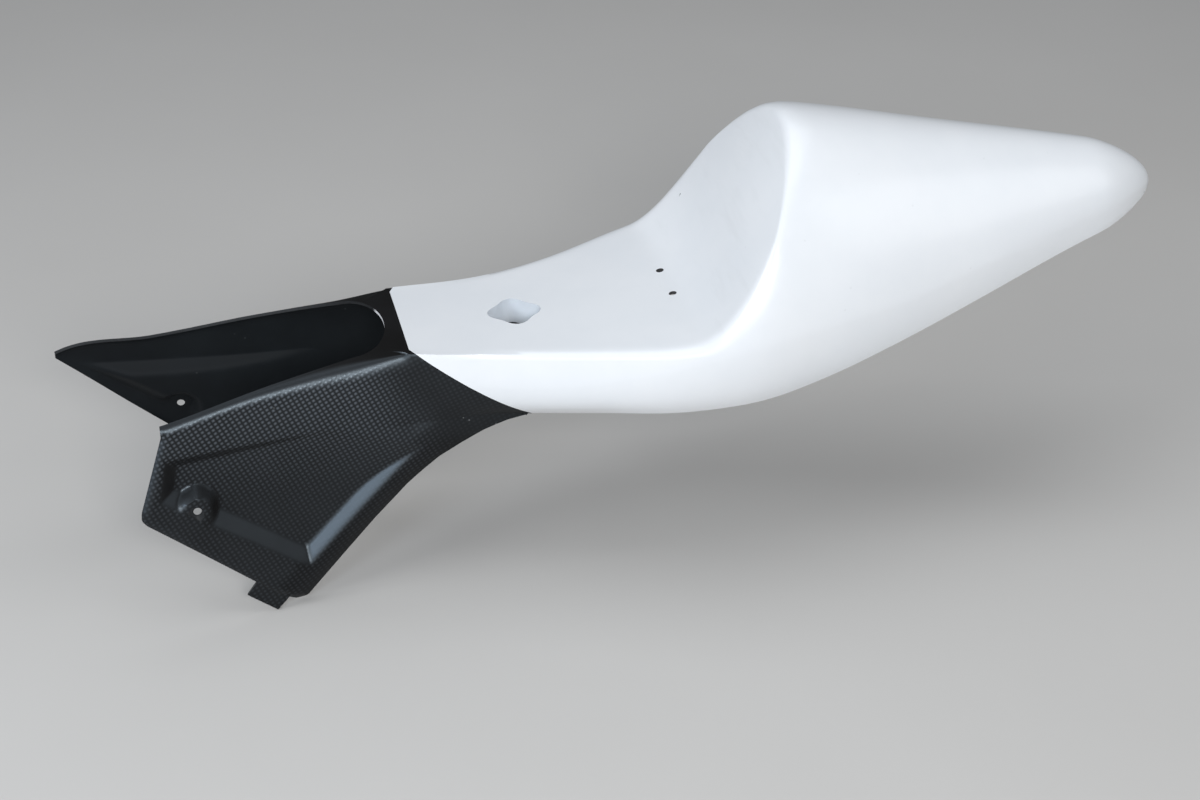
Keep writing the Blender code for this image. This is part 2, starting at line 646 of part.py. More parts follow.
def wing_grid(pointed):
    """Outside of a wing in rows from the joint to the front: the rounded corner, then the face below it."""
    rows = wing_rows(pointed)
    x_ridge, z_ridge = ridge(rows)
    size = along(RIDGE_ROUND, rows)
    flange = flange_point(rows, np.ones(len(rows)))
    corner = np.stack([x_ridge, rows, z_ridge], axis=1)
    inward = flange - corner
    reach = np.linalg.norm(inward, axis=1)
    inner = corner + inward * (np.minimum(size, 0.75 * reach) / reach)[:, None]
    rear, front = wing_edges(pointed)
    shares = np.linspace(0, 1, WING_COLUMNS + 1)
    joint = joint_rows()
    seam = joint[0][ROUND_STEPS:]
    top = np.stack([rows, z_ridge - along(RIDGE_REACH, rows)], axis=1)
    top[0] = seam[0, 1:]
    low = spaced(rear, np.linspace(0, 1, len(rows)))
    low[0] = seam[-1, 1:]
    end = spaced(front, shares)
    v = np.linspace(0, 1, len(rows))[:, None, None]
    w = shares[None, :, None]
    plane = (1 - w) * top[:, None] + w * low[:, None]
    plane += (1 - v) * (seam[None, :, 1:] - (1 - w) * top[0] - w * low[0])
    plane += v * (end[None] - (1 - w) * top[-1] - w * low[-1])
    face = np.concatenate([wing_x(plane[..., 0], plane[..., 1], pointed)[..., None], plane], axis=2)
    rounds = [bent(i, c, f[0], ROUND_STEPS)[:-1] for i, c, f in zip(inner, corner, face)]
    grid = np.concatenate([np.array(rounds), face], axis=1)
    grid[:2] = joint
    return grid


def flange_point(y, t):
    """The edge of the notch beside the ridge at t 1."""
    x_ridge, _ = ridge(y)
    return np.stack([x_ridge - t * along(FLANGE_WIDTH, y), y, along(NOTCH_Z, y)], axis=1)


def notch_edge(pointed):
    """The edge of the notch: from the middle of the bridge round its corner, then along one wing."""
    corner_x = float(flange_point(np.array([NOTCH_CORNER_Y]), np.ones(1))[0, 0])
    turn = np.linspace(0, np.pi / 2, BRIDGE_COLUMNS + NOTCH_ROWS + 1)
    y = NOTCH_CORNER_Y + (NOTCH_REAR_Y - NOTCH_CORNER_Y) * np.cos(turn)
    bridge = np.stack([corner_x * np.sin(turn), y, along(NOTCH_Z, y)], axis=1)
    ahead = wing_rows(pointed)[NOTCH_ROWS + 1 :]
    return np.concatenate([bridge, flange_point(ahead, np.ones(len(ahead)))])


def ribbon(pointed, wing):
    """The top of the yoke on one side, from the joint and the rounded corner to the edge of the notch."""
    rim_x = rim_points(np.zeros(1))[0, 0]
    t = np.linspace(0, 1 - RIM_STEP / rim_x, BRIDGE_COLUMNS)
    seam = seat_point(np.zeros(len(t)), t) - [0, GAP, 0]
    outer = np.concatenate([seam, wing[:, 0]])
    inner = notch_edge(pointed)
    steps = np.linspace(0, 1, 4)[None, :, None]
    return (1 - steps) * outer[:, None] + steps * inner[:, None]


def lap(seam, behind, normals):
    """A step down from the joint by the shell's wall, then a strip that runs back under the shell."""
    down = SHELL_WALL + GAP
    rows = [seam, seam - down * normals]
    rows += [points - down * normals for points in behind]
    return np.array(rows)


def side_lap(wing):
    """The strip under the side of the shell, between the rounded shoulder and the lower edge."""
    q = joint_shares()[LAP_SKIP_TOP:-LAP_SKIP_FOOT]
    length = SEAT_END_Y - SEAT_FRONT_Y
    behind = [side_point(np.full(len(q), LAP_LENGTH * k / length), q) for k in (0.5, 1.0)]
    along_q = side_point(np.zeros(len(q)), q + NEARBY) - side_point(np.zeros(len(q)), q - NEARBY)
    along_s = side_point(np.full(len(q), NEARBY), q) - side_point(np.zeros(len(q)), q)
    normals = np.cross(along_q, along_s)
    normals /= np.linalg.norm(normals, axis=1)[:, None]
    seam = wing[0, ROUND_STEPS + LAP_SKIP_TOP : ROUND_STEPS + LAP_SKIP_TOP + len(q)]
    return lap(seam, behind, normals)


def top_lap(ribbons):
    """The strip under the front of the seat."""
    left = ribbons[0][:BRIDGE_COLUMNS, 0]
    seam = np.concatenate([left[:0:-1] * [-1, 1, 1], left])
    t = seam[:, 0] / rim_points(np.zeros(1))[0, 0]
    length = SEAT_END_Y - SEAT_FRONT_Y
    behind = [seat_point(np.full(len(t), LAP_LENGTH * k / length), t) for k in (0.5, 1.0)]
    fall = (SEAT_LOW_Y - SEAT_FRONT_Y) / SEAT_ARC_RADIUS
    return lap(seam, behind, np.array([[0, fall, 1]]) / np.hypot(fall, 1))


def tongue(pointed, side):
    """A hidden flat block along the lower edge of a wing, set in behind its outside."""
    nose, foot = np.array(TIP_NOSE if pointed else WING_NOSE), np.array(WING_FOOT)
    run = (foot - nose) / np.linalg.norm(foot - nose)
    out = np.array([run[1], -run[0]])
    middle = nose + run * (TONGUE_Y - nose[0]) / run[0]
    outline = [(-0.5, -TONGUE_ROOT), (0.5, -TONGUE_ROOT), (0.4, TONGUE_REACH), (-0.5, TONGUE_REACH)]
    points = []
    for across, reach in outline:
        y, z = middle + run * across * TONGUE_WIDTH + out * reach
        root = middle + run * across * TONGUE_WIDTH - out * TONGUE_ROOT
        x = float(wing_x(np.array(root[0]), np.array(root[1]), pointed))
        x += WING_LEAN * (root[1] - z) - TONGUE_INSET
        points += [(side * x, y, z), (side * (x - TONGUE_THICKNESS), y, z)]
    ring = [0, 2, 4, 6]
    faces = [ring[::-1], [k + 1 for k in ring]]
    faces += [[ring[k], ring[(k + 1) % 4], ring[(k + 1) % 4] + 1, ring[k] + 1] for k in range(4)]
    if side < 0:
        faces = [face[::-1] for face in faces]
    return mesh_object(f"tongue_{'left' if side > 0 else 'right'}", np.array(points), faces, hidden=True)[0]


def yoke_surface():
    """Every patch of the yoke's outside, as (grid of points, whether its faces are turned)."""
    wings = [wing_grid(False), wing_grid(True)]
    ribbons = [ribbon(False, wings[0]), ribbon(True, wings[1])]
    mirror = np.array([-1, 1, 1])
    patches = [(wings[0], True), (wings[1] * mirror, False)]
    patches += [(ribbons[0], False), (ribbons[1] * mirror, True)]
    patches += [(top_lap(ribbons), False)]
    patches += [(side_lap(wings[0]), False), (side_lap(wings[1]) * mirror, True)]
    return patches


def front_yoke():
    """Black moulding: the bridge ahead of the seat, two wings, and the strips under the shell."""
    points, faces, thin, start = [], [], [], 0
    for grid, turned in yoke_surface():
        faces += grid_faces(*grid.shape[:2], start=start, turned=turned)
        if len(points) < 2:
            for row in (start, start + grid.shape[1]):
                thin += range(row, row + ROUND_STEPS // 2 + 2)
        points.append(grid.reshape(-1, 3))
        start += points[-1].shape[0]
    obj, index = mesh_object("front_yoke", np.concatenate(points) + 0.0, faces)
    full = obj.vertex_groups.new(name="full wall")
    full.add(sorted(set(index.tolist()) - set(index[thin].tolist())), 1.0, "REPLACE")
    wall = thicken(obj, YOKE_WALL)
    wall.vertex_group = full.name
    wall.thickness_vertex_group = CORNER_THINNING
    for name, side in (("left", 1), ("right", -1)):
        boolean(obj, tongue(side < 0, side), "UNION")
        x = float(wing_x(np.array(BOSS_Y), np.array(BOSS_Z), side < 0))
        deep = [(side * (x + reach), BOSS_Y, BOSS_Z) for reach in (CUTTER_REACH, -CUTTER_REACH)]
        boolean(obj, rod(f"hole_{name}", *deep, WING_HOLE_RADIUS, WING_HOLE_RADIUS), "DIFFERENCE")
        sunk = [(side * (x + reach), BOSS_Y, BOSS_Z) for reach in (COUNTERSINK_DEPTH, -COUNTERSINK_DEPTH)]
        wide = 2 * COUNTERSINK_RADIUS - WING_HOLE_RADIUS
        boolean(obj, rod(f"countersink_{name}", *sunk, wide, WING_HOLE_RADIUS), "DIFFERENCE")
    smooth(obj)
    paint(obj, "black laminate", (0.035, 0.037, 0.042), 0.38)
    return obj


for old in list(bpy.data.objects):
    bpy.data.objects.remove(old)

seat_shell()
front_yoke()
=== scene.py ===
"""Looks of the motorcycle tail fairing: finer surfaces, their materials, light and camera."""

import json

import bpy
import numpy as np
from mathutils import Matrix, Vector

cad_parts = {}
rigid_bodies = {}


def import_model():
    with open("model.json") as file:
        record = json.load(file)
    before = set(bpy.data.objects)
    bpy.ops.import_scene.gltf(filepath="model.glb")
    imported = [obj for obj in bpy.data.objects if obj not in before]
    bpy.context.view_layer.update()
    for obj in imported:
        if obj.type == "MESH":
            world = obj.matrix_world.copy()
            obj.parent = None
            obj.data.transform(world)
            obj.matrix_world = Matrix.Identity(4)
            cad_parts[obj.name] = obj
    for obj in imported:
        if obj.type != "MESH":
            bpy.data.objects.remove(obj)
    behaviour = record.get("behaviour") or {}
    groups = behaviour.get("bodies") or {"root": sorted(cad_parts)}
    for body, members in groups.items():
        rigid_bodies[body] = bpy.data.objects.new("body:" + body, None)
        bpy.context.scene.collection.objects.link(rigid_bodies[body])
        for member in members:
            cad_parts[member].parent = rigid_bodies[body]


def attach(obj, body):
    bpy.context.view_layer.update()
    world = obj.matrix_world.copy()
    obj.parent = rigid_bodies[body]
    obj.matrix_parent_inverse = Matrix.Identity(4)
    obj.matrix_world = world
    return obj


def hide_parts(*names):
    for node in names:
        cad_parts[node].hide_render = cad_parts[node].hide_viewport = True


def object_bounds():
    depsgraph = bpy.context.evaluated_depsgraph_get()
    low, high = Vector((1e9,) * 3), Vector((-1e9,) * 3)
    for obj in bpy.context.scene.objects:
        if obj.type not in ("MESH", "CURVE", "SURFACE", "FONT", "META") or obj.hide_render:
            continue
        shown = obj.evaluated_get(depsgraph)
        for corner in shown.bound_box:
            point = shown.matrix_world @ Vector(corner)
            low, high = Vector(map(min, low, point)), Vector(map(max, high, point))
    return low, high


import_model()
CAD_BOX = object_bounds()

MM = 0.001

# Laminate and clearances
SHELL_WALL = 2.8
YOKE_WALL = 2.4
GAP = 0.3
LAP_LENGTH = 16.0

# Seat floor: a long shallow arc, level with the origin at the screw holes
SEAT_FRONT_Y = -228.5
SEAT_LOW_Y = -146.5
SEAT_ARC_RADIUS = 877.0
SEAT_END_Y = -9.5
FRONT_CORNER = 4.0

# Backstop: a nearly flat face that leans back from the seat to the crest of the hump
CREST_Y = 94.5
BACKSTOP_SLOPE = 2.05
BACKSTOP_BLEND = 40.0
RIM_FOOT_REACH = 42.0
RIM_HEAD_REACH = 56.0
RIM_HEAD_SLOPE = 2.65
RIM_STEP = 8.0
HUMP_CORNER = 1.45
HUMP_EASE = 1.5

# Body of the tail, as lengthwise lines at stations of Y
TIP_Y = 432.5
TIP_Z = 50.0
NOSE_LENGTH = 62.0
HALF_WIDTH = [(-230, 65), (-160, 75), (-80, 97), (-10, 121), (45, 129), (110, 121), (250, 84)]
HALF_WIDTH += [(355, 51), (433, 27)]
TOP_LINE = [(-230, 60), (-110, 95), (0, 160), (94.5, 150), (240, 121), (375, 93), (433, 80)]
BELT_LINE = [(-230, -38), (-90, -38), (0, -14), (70, 2), (180, 14), (355, 45), (433, 55)]
LOW_LINE = [(-230, -69), (-90, -69), (0, -63), (70, -54), (180, -25), (355, 22), (433, 38)]
TUCK = [(-230, 8), (-60, 11), (60, 12), (180, 6), (355, 2), (433, 1)]
SHOULDER_POWER = 0.7
TUCK_POWER = 2.4
SIDE_EASE = 0.5

# Lower edge: where the slanted front edge of the side meets it, and where it passes the hump
SIDE_FOOT_Y = -132.0
SIDE_MIDDLE_Y = 105.0
NOSE_SHARE = 0.45
JOINT_BOW = 7.0

# Softened rim between the top and the side: how near, from where, and how often it is eased
RIM_SOFT_REACH = 13.0
RIM_SOFT_FULL = 1.3
RIM_SOFT_START = 12.0
RIM_SOFT_LENGTH = 170.0
RIM_SOFT_ROUNDS = 14
RIM_SOFT_FACTOR = 0.5

# Opening in the seat, with a collar turned down from it
COLLAR_Y = -131.5
COLLAR_RADIUS = 20.6
COLLAR_LOBE = 2.2
COLLAR_DEPTH = 21.0
COLLAR_TAPER = 0.88
COLLAR_TAPER_POWER = 1.3
COLLAR_TAPER_END = 1.2
COLLAR_WALL = 2.4

# Screw holes in the seat
SCREW_SPACING = 43.0
SCREW_HOLE_RADIUS = 3.3

# Yoke: the corner line of the wings, carried on behind the joint, and the edge of the notch between them
RIDGE_X = [(-516, 95), (-430, 81), (-369, 71), (-300, 64), (-250, 61)]
RIDGE_STATION_Y = -180.0
RIDGE_Z = [(-516, -57), (-504, -51.5), (-430, -42.3), (-369, -30), (-300, -19), (-258, -13)]
RIDGE_ROUND = [(-516, 4.5), (-430, 4.5), (-320, 7.5), (-275, 9), (-245, 5), (-224.5, 2.2)]
RIDGE_REACH = [(-516, 4.5), (-430, 5), (-320, 9), (-275, 15), (-224.5, 18)]
NOTCH_REAR_Y = -241.5
NOTCH_CORNER_Y = -272.0
FLANGE_WIDTH = [(-516, 6), (-345, 6.5), (-300, 10), (-272, 13.5)]
NOTCH_Z = [(-516, -53), (-504, -47.5), (-430, -38.3), (-342, -21.5), (-300, -15)]
NOTCH_Z += [(-272, -11.5), (-241.5, -8.5)]
WING_LEAN = 0.17
WING_BLEND_LENGTH = 75.0
JOINT_STEP = 6.0
INNER_SHARE = 0.75
LAP_SKIP_TOP = 4
LAP_SKIP_FOOT = 11
NEARBY = 0.02

# Outline of the wings as (Y, Z): the left one ends in a blunt edge, the right one in a point
WING_FRONT_Y = -433.0
WING_NOSE = (-457.0, -114.0)
TIP_NOSE = (-457.0, -107.5)
WING_TIP_Y = -511.0
WING_FOOT = (-332.0, -216.0)
WING_REAR_EDGE = [(-300, -185), (-266, -152), (-237, -126), (-209, -105), (-190, -94)]
WING_REAR_EDGE += [(-171, -84), (-152, -76)]
CORNER_ROUND = 7.0
EDGE_ROLL = 2.5
EDGE_ROLL_WIDTH = 7.0
REAR_TUCK = 13.0
REAR_TUCK_WIDTH = 34.0

# Recess in each wing, by the corners of its mouth, and the boss in its lower front corner
RECESS_TOP_FRONT = (-432.0, -66.0)
RECESS_REAR = (-194.6, -62.0)
RECESS_FOOT = (-324.1, -181.1)
RECESS_LOW_FRONT = (-440.0, -101.0)
RECESS_DEPTH = 10.0
RECESS_WALL_WIDTH = 12.0
RECESS_FADE_Y = -300.0
RECESS_FADE_LENGTH = 100.0
RECESS_FADE_DROP = 34.0
RECESS_ROUND = 1.8
RECESS_FADE_SPAN = 1.8
RECESS_MOUTH_ROUND = 1.6
BOSS_Y = -410.5
BOSS_Z = -114.0
BOSS_RADIUS = 11.0
BOSS_SHOULDER = 7.0
WING_HOLE_RADIUS = 3.4
COUNTERSINK_RADIUS = 5.8
COUNTERSINK_DEPTH = 1.2
CUTTER_REACH = 12.0
CUTTER_MARGIN = 5.0

# Tongue below the lower edge of each wing
TONGUE_Y = -356.0
TONGUE_WIDTH = 34.0
TONGUE_REACH = 13.0
TONGUE_ROOT = 12.0
TONGUE_INSET = 1.0
TONGUE_THICKNESS = 2.4

# Mesh fineness
SEAT_ROWS = 48
HUMP_ROWS = 40
TOP_COLUMNS = 56
SIDE_COLUMNS = 44
NOTCH_ROWS = 12
WING_ROWS = 140
WING_COLUMNS = 110
BRIDGE_COLUMNS = 18
ROUND_STEPS = 8
FLANGE_STEPS = 8
HOLE_SIDES = 48
COLLAR_SIDES = 48
COLLAR_LEVELS = 5
UPPER_SAMPLES = 49
LOWER_SAMPLES = 17
BACKSTOP_SAMPLES = 200
ARCH_SAMPLES = 400

# The angle in radians past which an edge is sharp, and a distance beyond any on the part
SHARP_ANGLE = 0.6
FAR = 1e6

# Cloth of the wings: the pitch of its rows, their turn about X in radians, and their waver in metres
WEAVE_PITCH = 3.95
WEAVE_CROSS_PITCH = 3.4
WEAVE_TURN = -0.427
WAVER = (0.0012, 0.0012, 0.0012)
WAVER_SCALE = 22.0

# Small marks as X, Y, Z and radius, the share of a mark that is full, and the grit of sanded edges
SHELL_MARKS = [(-93.3, 36.4, 34.9, 1.3), (-92.6, 36.0, 33.4, 0.9)]
WING_MARKS = [(65.9, -183.4, -73.0, 1.0), (65.8, -188.2, -70.2, 0.8), (66.4, -161.2, -79.3, 0.9)]
INNER_MARKS = [(-61.3, -268.0, -20.0, 1.0), (-61.2, -267.0, -22.5, 1.0), (-61.1, -266.0, -25.0, 1.1)]
INNER_MARKS += [(-69.9, -351.8, -47.6, 1.2)]
MARK_CORE = 0.4
GRIT_SCALE = 420.0

# Where finishes change, from and to: by one part of a face's direction, or by a place in metres.
# The shine of the cloth is the least on level faces and adds its range on slanted ones.
BACKSTOP_FACING = (-0.75, -0.45)
PAINTED_UNDER_SHADE_FACING = (-0.80, -0.25)
# Faces that look ahead get the pale edge's painted highlight
AHEAD_HIGHLIGHT_FACING = (-0.9, -0.6)
WING_FACING = (0.76, 0.95)
LEANING_FACING = (0.20, 0.42)
REAR_FACING = (0.05, 0.22)
LEVEL_FACING = (0.75, 0.96)
SHINE_LEAST = 0.02
SHINE_RANGE = 0.62
WEAVE_FADE_LEAN = 0.55
WEAVE_FADE = (-0.300, -0.235)
# Heights between which the cloth dots dim toward the foot: painted shade
WEAVE_SHADE_HEIGHT = (-0.130, -0.010)
# Where the rear of the notch has a pale cut edge that is also a painted highlight
PALE_HIGHLIT_EDGE_LENGTH = 12.0
PALE_HIGHLIT_EDGE_SIDE = (0.020, 0.027)

# Colours of the shell, and the tones that multiply its gel coat; the collar's tone is painted shade
GEL_DARKER = (0.765, 0.785, 0.81, 1)
GEL_LIGHTER = (0.80, 0.815, 0.835, 1)
GEL_WIPED = (0.66, 0.675, 0.69, 1)
GEL_DUST = (0.42, 0.42, 0.42, 1)
GEL_CHIP = (0.10, 0.10, 0.11, 1)
# Painted shade: a warmer, darker grey for the faces of the shell that look down
GEL_PAINTED_UNDER_SHADE = (0.42, 0.395, 0.37, 1)
PLAIN_TONE = (1, 1, 1, 1)
# Painted shade: the collar's wall is a darker copy of the gel coat
COLLAR_SHADE_TONE = (0.80, 0.83, 0.86, 1)
# Inside of the shell: dark, partly painted shade for what is seen through the seat opening
MAT_DARKER = (0.026, 0.026, 0.027, 1)
MAT_LIGHTER = (0.045, 0.045, 0.046, 1)
MAT_STRAND = (0.10, 0.10, 0.10, 1)
EDGE_DARKER = (0.020, 0.020, 0.021, 1)
EDGE_LIGHTER = (0.055, 0.055, 0.056, 1)

# Colours of the yoke
RESIN_DARKER = (0.0080, 0.0076, 0.0074, 1)
RESIN_LIGHTER = (0.012, 0.012, 0.0125, 1)
# Grey of the cloth dots, made bright and blue-grey as painted sheen
CLOTH_DOT_AND_SHEEN = (0.125, 0.140, 0.158, 1)
RESIN_DUST = (0.30, 0.30, 0.28, 1)
RESIN_SCUFF = (0.40, 0.41, 0.42, 1)
# Blue tint of the resin's highlights: painted reflection of a blue sky
SKY_BLUE_HIGHLIGHT_TINT = (0.74, 0.88, 1.0, 1)
INNER_DARKER = (0.006, 0.0072, 0.0085, 1)
INNER_LIGHTER = (0.010, 0.0125, 0.0145, 1)
INNER_DUST = (0.20, 0.20, 0.20, 1)
INNER_SCUFF = (0.20, 0.21, 0.21, 1)
TRIMMED_DARKER = (0.010, 0.010, 0.011, 1)
TRIMMED_LIGHTER = (0.030, 0.032, 0.034, 1)
# Pale cut edge at the notch's rear, also standing in as a painted highlight
TRIMMED_PALE_AND_HIGHLIGHT = (0.72, 0.72, 0.74, 1)

# Floor: half its side and its drop below the part, in metres, and its colours
FLOOR_REACH = 6.0
FLOOR_DROP = 0.0005
FLOOR_DARKER = (0.52, 0.505, 0.485, 1)
FLOOR_LIGHTER = (0.56, 0.545, 0.525, 1)

# Lamps: name, place, target and size in metres, watts, colour
LAMPS = [
    ("side light", (2.5, -0.2, 1.25), (0.0, 0.0, 0.0), (0.8, 0.6), 34.5, (0.93, 0.935, 0.935)),
    ("front light", (1.64, -1.45, 0.75), (0.09, -0.3, -0.1), (0.6, 0.6), 14.0, (0.80, 0.89, 1.0)),
    ("seat light", (0.6, -2.4, 1.3), (0.0, 0.0, 0.0), (1.3, 1.0), 27.5, (0.93, 0.965, 1.0)),
    ("tail light", (1.2, 1.8, 1.2), (0.0, 0.2, 0.0), (1.2, 1.2), 9.0, (0.95, 0.975, 1.0)),
    ("sky light", (-0.3, 0.1, 2.4), (0.0, 0.0, 0.0), (2.0, 2.0), 19.0, (0.92, 0.96, 1.0)),
]
ROOM_COLOUR = (0.84, 0.87, 0.92, 1)
ROOM_STRENGTH = 0.25

# Camera: lens and sensor width in mm, place in metres, and its directions ahead and to the right
CAMERA_LENS = 69.0
CAMERA_SENSOR = 36.0
CAMERA_PLACE = (1.67098, -0.44941, 0.89856)
CAMERA_AHEAD = (-0.83973, 0.19696, -0.50603)
CAMERA_RIGHT = (0.22835, 0.97358, 0.0)


def along(stations, y):
    """A smooth line through (y, value) stations: cubics that share their slopes at the stations."""
    ys, values = np.array(stations, float).T
    slopes = np.gradient(values, ys)
    y = np.clip(y, ys[0], ys[-1])
    k = np.clip(np.searchsorted(ys, y) - 1, 0, len(ys) - 2)
    step = ys[k + 1] - ys[k]
    t = (y - ys[k]) / step
    first = values[k] * (1 + 2 * t) * (1 - t) ** 2 + slopes[k] * step * t * (1 - t) ** 2
    last = values[k + 1] * t**2 * (3 - 2 * t) + slopes[k + 1] * step * t**2 * (t - 1)
    return first + last


def ramp(value):
    """0 to 1 with a level start and end."""
    value = np.clip(value, 0, 1)
    return value * value * (3 - 2 * value)


def soft_max(a, b, width):
    """The greater of the two, with the corner rounded over the given width."""
    share = np.clip(1 - np.abs(a - b) / width, 0, 1)
    return np.maximum(a, b) + share**2 * width / 4


def soft_min(a, b, width):
    """The lesser of the two, with the corner rounded over the given width."""
    return -soft_max(-a, -b, width)


def nose_scale(y):
    """1 along the body, falling to 0 at the tip along a quarter of an ellipse."""
    share = np.clip((y - TIP_Y + NOSE_LENGTH) / NOSE_LENGTH, 0, 1)
    return np.sqrt(np.clip(1 - share**2, 0, 1))


def half_width(y):
    """Half width of the body at its belt: the line through its stations, drawn in to 0 at the tip."""
    return along(HALF_WIDTH, y) * nose_scale(y)


def level(stations, y):
    """Height of a lengthwise line of the body: the line through its stations, drawn in to the tip."""
    return TIP_Z + (along(stations, y) - TIP_Z) * nose_scale(y)


def seat_floor(y):
    """Height of the seat: a parabola about its lowest place, 0 at the origin."""
    return ((y - SEAT_LOW_Y) ** 2 - SEAT_LOW_Y**2) / (2 * SEAT_ARC_RADIUS)


def backstop_line(y):
    """Height of the centre line of the seat and the backstop."""
    face = level(TOP_LINE, CREST_Y) - (CREST_Y - y) * BACKSTOP_SLOPE
    return soft_max(seat_floor(y), face, BACKSTOP_BLEND)


def body_point(y, u):
    """The section at y: u 0 at the top, 1 at the belt, where it is widest, and 2 at the lower edge."""
    top, belt, low = level(TOP_LINE, y), level(BELT_LINE, y), level(LOW_LINE, y)
    angle = np.clip(u, 0, 1) * np.pi / 2
    down = np.clip(u - 1, 0, 1)
    tuck = along(TUCK, y) * nose_scale(y) * down**TUCK_POWER
    x = half_width(y) * np.sin(angle) - tuck
    z = belt + (top - belt) * np.cos(angle) ** (2 * SHOULDER_POWER) + (low - belt) * down
    return x, z


def section_shares(y):
    """Section parameters, and the share of the section's length up to each, for every y."""
    u = np.concatenate([np.linspace(0, 1, UPPER_SAMPLES), np.linspace(1, 2, LOWER_SAMPLES)[1:]])
    x, z = body_point(y[:, None], u[None, :])
    steps = np.hypot(np.diff(x, axis=1), np.diff(z, axis=1)) + 1e-9
    length = np.concatenate([np.zeros((len(y), 1)), np.cumsum(steps, axis=1)], axis=1)
    return u, length / length[:, -1:]


def body_at_share(y, share):
    """The point of the body at y that lies the given share of the way round its section."""
    u, shares = section_shares(y)
    k = np.clip((shares < share[:, None]).sum(axis=1), 1, len(u) - 1)
    rows = np.arange(len(y))
    before, after = shares[rows, k - 1], shares[rows, k]
    t = np.clip((share - before) / (after - before), 0, 1)
    x, z = body_point(y, u[k - 1] + t * (u[k] - u[k - 1]))
    return np.stack([x, y, z], axis=1)


def share_at_height(y, z):
    """The share of the section at y where its upper part passes the height z."""
    top, belt = level(TOP_LINE, y), level(BELT_LINE, y)
    rise = np.clip((z - belt) / (top - belt), 0, 1)
    wanted = np.arccos(rise ** (0.5 / SHOULDER_POWER)) * 2 / np.pi
    u, shares = section_shares(y)
    k = np.clip(np.searchsorted(u, wanted), 1, len(u) - 1)
    rows = np.arange(len(y))
    before, after = shares[rows, k - 1], shares[rows, k]
    return before + (after - before) / (u[k] - u[k - 1]) * (wanted - u[k - 1])


def rim_line(s):
    """Y and Z of the rim: straight in Y along the shoulder to s 1, then a cubic curve to the crest at 2."""
    front = SEAT_FRONT_Y + FRONT_CORNER
    y_seat = front + (SEAT_END_Y - front) * np.clip(s, 0, 1)
    t = np.clip(s - 1, 0, 1)
    t = 1 - (1 - t) ** HUMP_EASE
    foot = np.array([SEAT_END_Y, seat_floor(SEAT_END_Y)])
    foot_slope = (SEAT_END_Y - SEAT_LOW_Y) / SEAT_ARC_RADIUS
    crest = np.array([CREST_Y, level(TOP_LINE, CREST_Y)])
    foot_arm = foot + RIM_FOOT_REACH * np.array([1, foot_slope])
    head_arm = crest - RIM_HEAD_REACH * np.array([1, RIM_HEAD_SLOPE]) / np.hypot(1, RIM_HEAD_SLOPE)
    weights = np.stack([(1 - t) ** 3, 3 * t * (1 - t) ** 2, 3 * t**2 * (1 - t), t**3])
    y_hump, z_hump = np.stack([foot, foot_arm, head_arm, crest]).T @ weights
    on_seat = s <= 1
    return np.where(on_seat, y_seat, y_hump), np.where(on_seat, seat_floor(y_seat), z_hump)


def centre_line(s):
    """Y and Z of the middle of the seat and the backstop, row by row with the rim."""
    y_seat = SEAT_FRONT_Y + (SEAT_END_Y - SEAT_FRONT_Y) * np.clip(s, 0, 1)
    y_back = np.linspace(SEAT_END_Y, CREST_Y, BACKSTOP_SAMPLES)
    z_back = backstop_line(y_back)
    z_back[-1] = level(TOP_LINE, CREST_Y)
    length = np.concatenate([[0], np.cumsum(np.hypot(np.diff(y_back), np.diff(z_back)))])
    t = np.clip(s - 1, 0, 1)
    y_up = np.interp((1 - (1 - t) ** HUMP_EASE) * length[-1], length, y_back)
    z_up = np.interp(y_up, y_back, z_back)
    on_seat = s <= 1
    return np.where(on_seat, y_seat, y_up), np.where(on_seat, seat_floor(y_seat), z_up)


def rim_points(s):
    """The rim of the left half: the rim line of the side view, laid on the body's section."""
    y, z = rim_line(s)
    top, belt = level(TOP_LINE, y), level(BELT_LINE, y)
    rise = np.clip((z - belt) / (top - belt), 0, 1)
    x = half_width(y) * np.sqrt(np.clip(1 - rise ** (1 / SHOULDER_POWER), 0, 1))
    return np.stack([x, y, z], axis=1)


def seat_point(s, t):
    """The seat and the backstop: row s of the rim, and t from -1 at the right rim to 1 at the left."""
    rim = rim_points(s)
    y_mid, z_mid = centre_line(s)
    x = t * rim[:, 0]
    corner = np.clip((np.abs(x) - rim[:, 0] + RIM_STEP) / RIM_STEP, 0, 1)
    bow = np.where(s < 1, corner, t**2)
    y = y_mid + (rim[:, 1] - y_mid) * bow
    z = z_mid + (rim[:, 2] - z_mid) * t**2
    return np.stack([x, y, z], axis=1)


def side_point(s, q):
    """The outside of the left half: from the rim at q 0 to the lower edge or the tip at q 1."""
    y_rim, z_rim = rim_line(s)
    on_nose = np.clip((s - 1 - NOSE_SHARE) / (1 - NOSE_SHARE), 0, 1)
    y_low = np.interp(s, [0, 1, 1 + NOSE_SHARE], [SIDE_FOOT_Y, SIDE_MIDDLE_Y, TIP_Y])
    q = 1 - (1 - q) ** (1 + SIDE_EASE * np.clip(s - 1, 0, 1))
    y = y_rim + (y_low - y_rim) * q - 4 * JOINT_BOW * q * (1 - q) * np.clip(1 - s, 0, 1)
    share_rim = share_at_height(y_rim, z_rim)
    share = share_rim + (1 - on_nose - share_rim) * q
    return body_at_share(y, share)


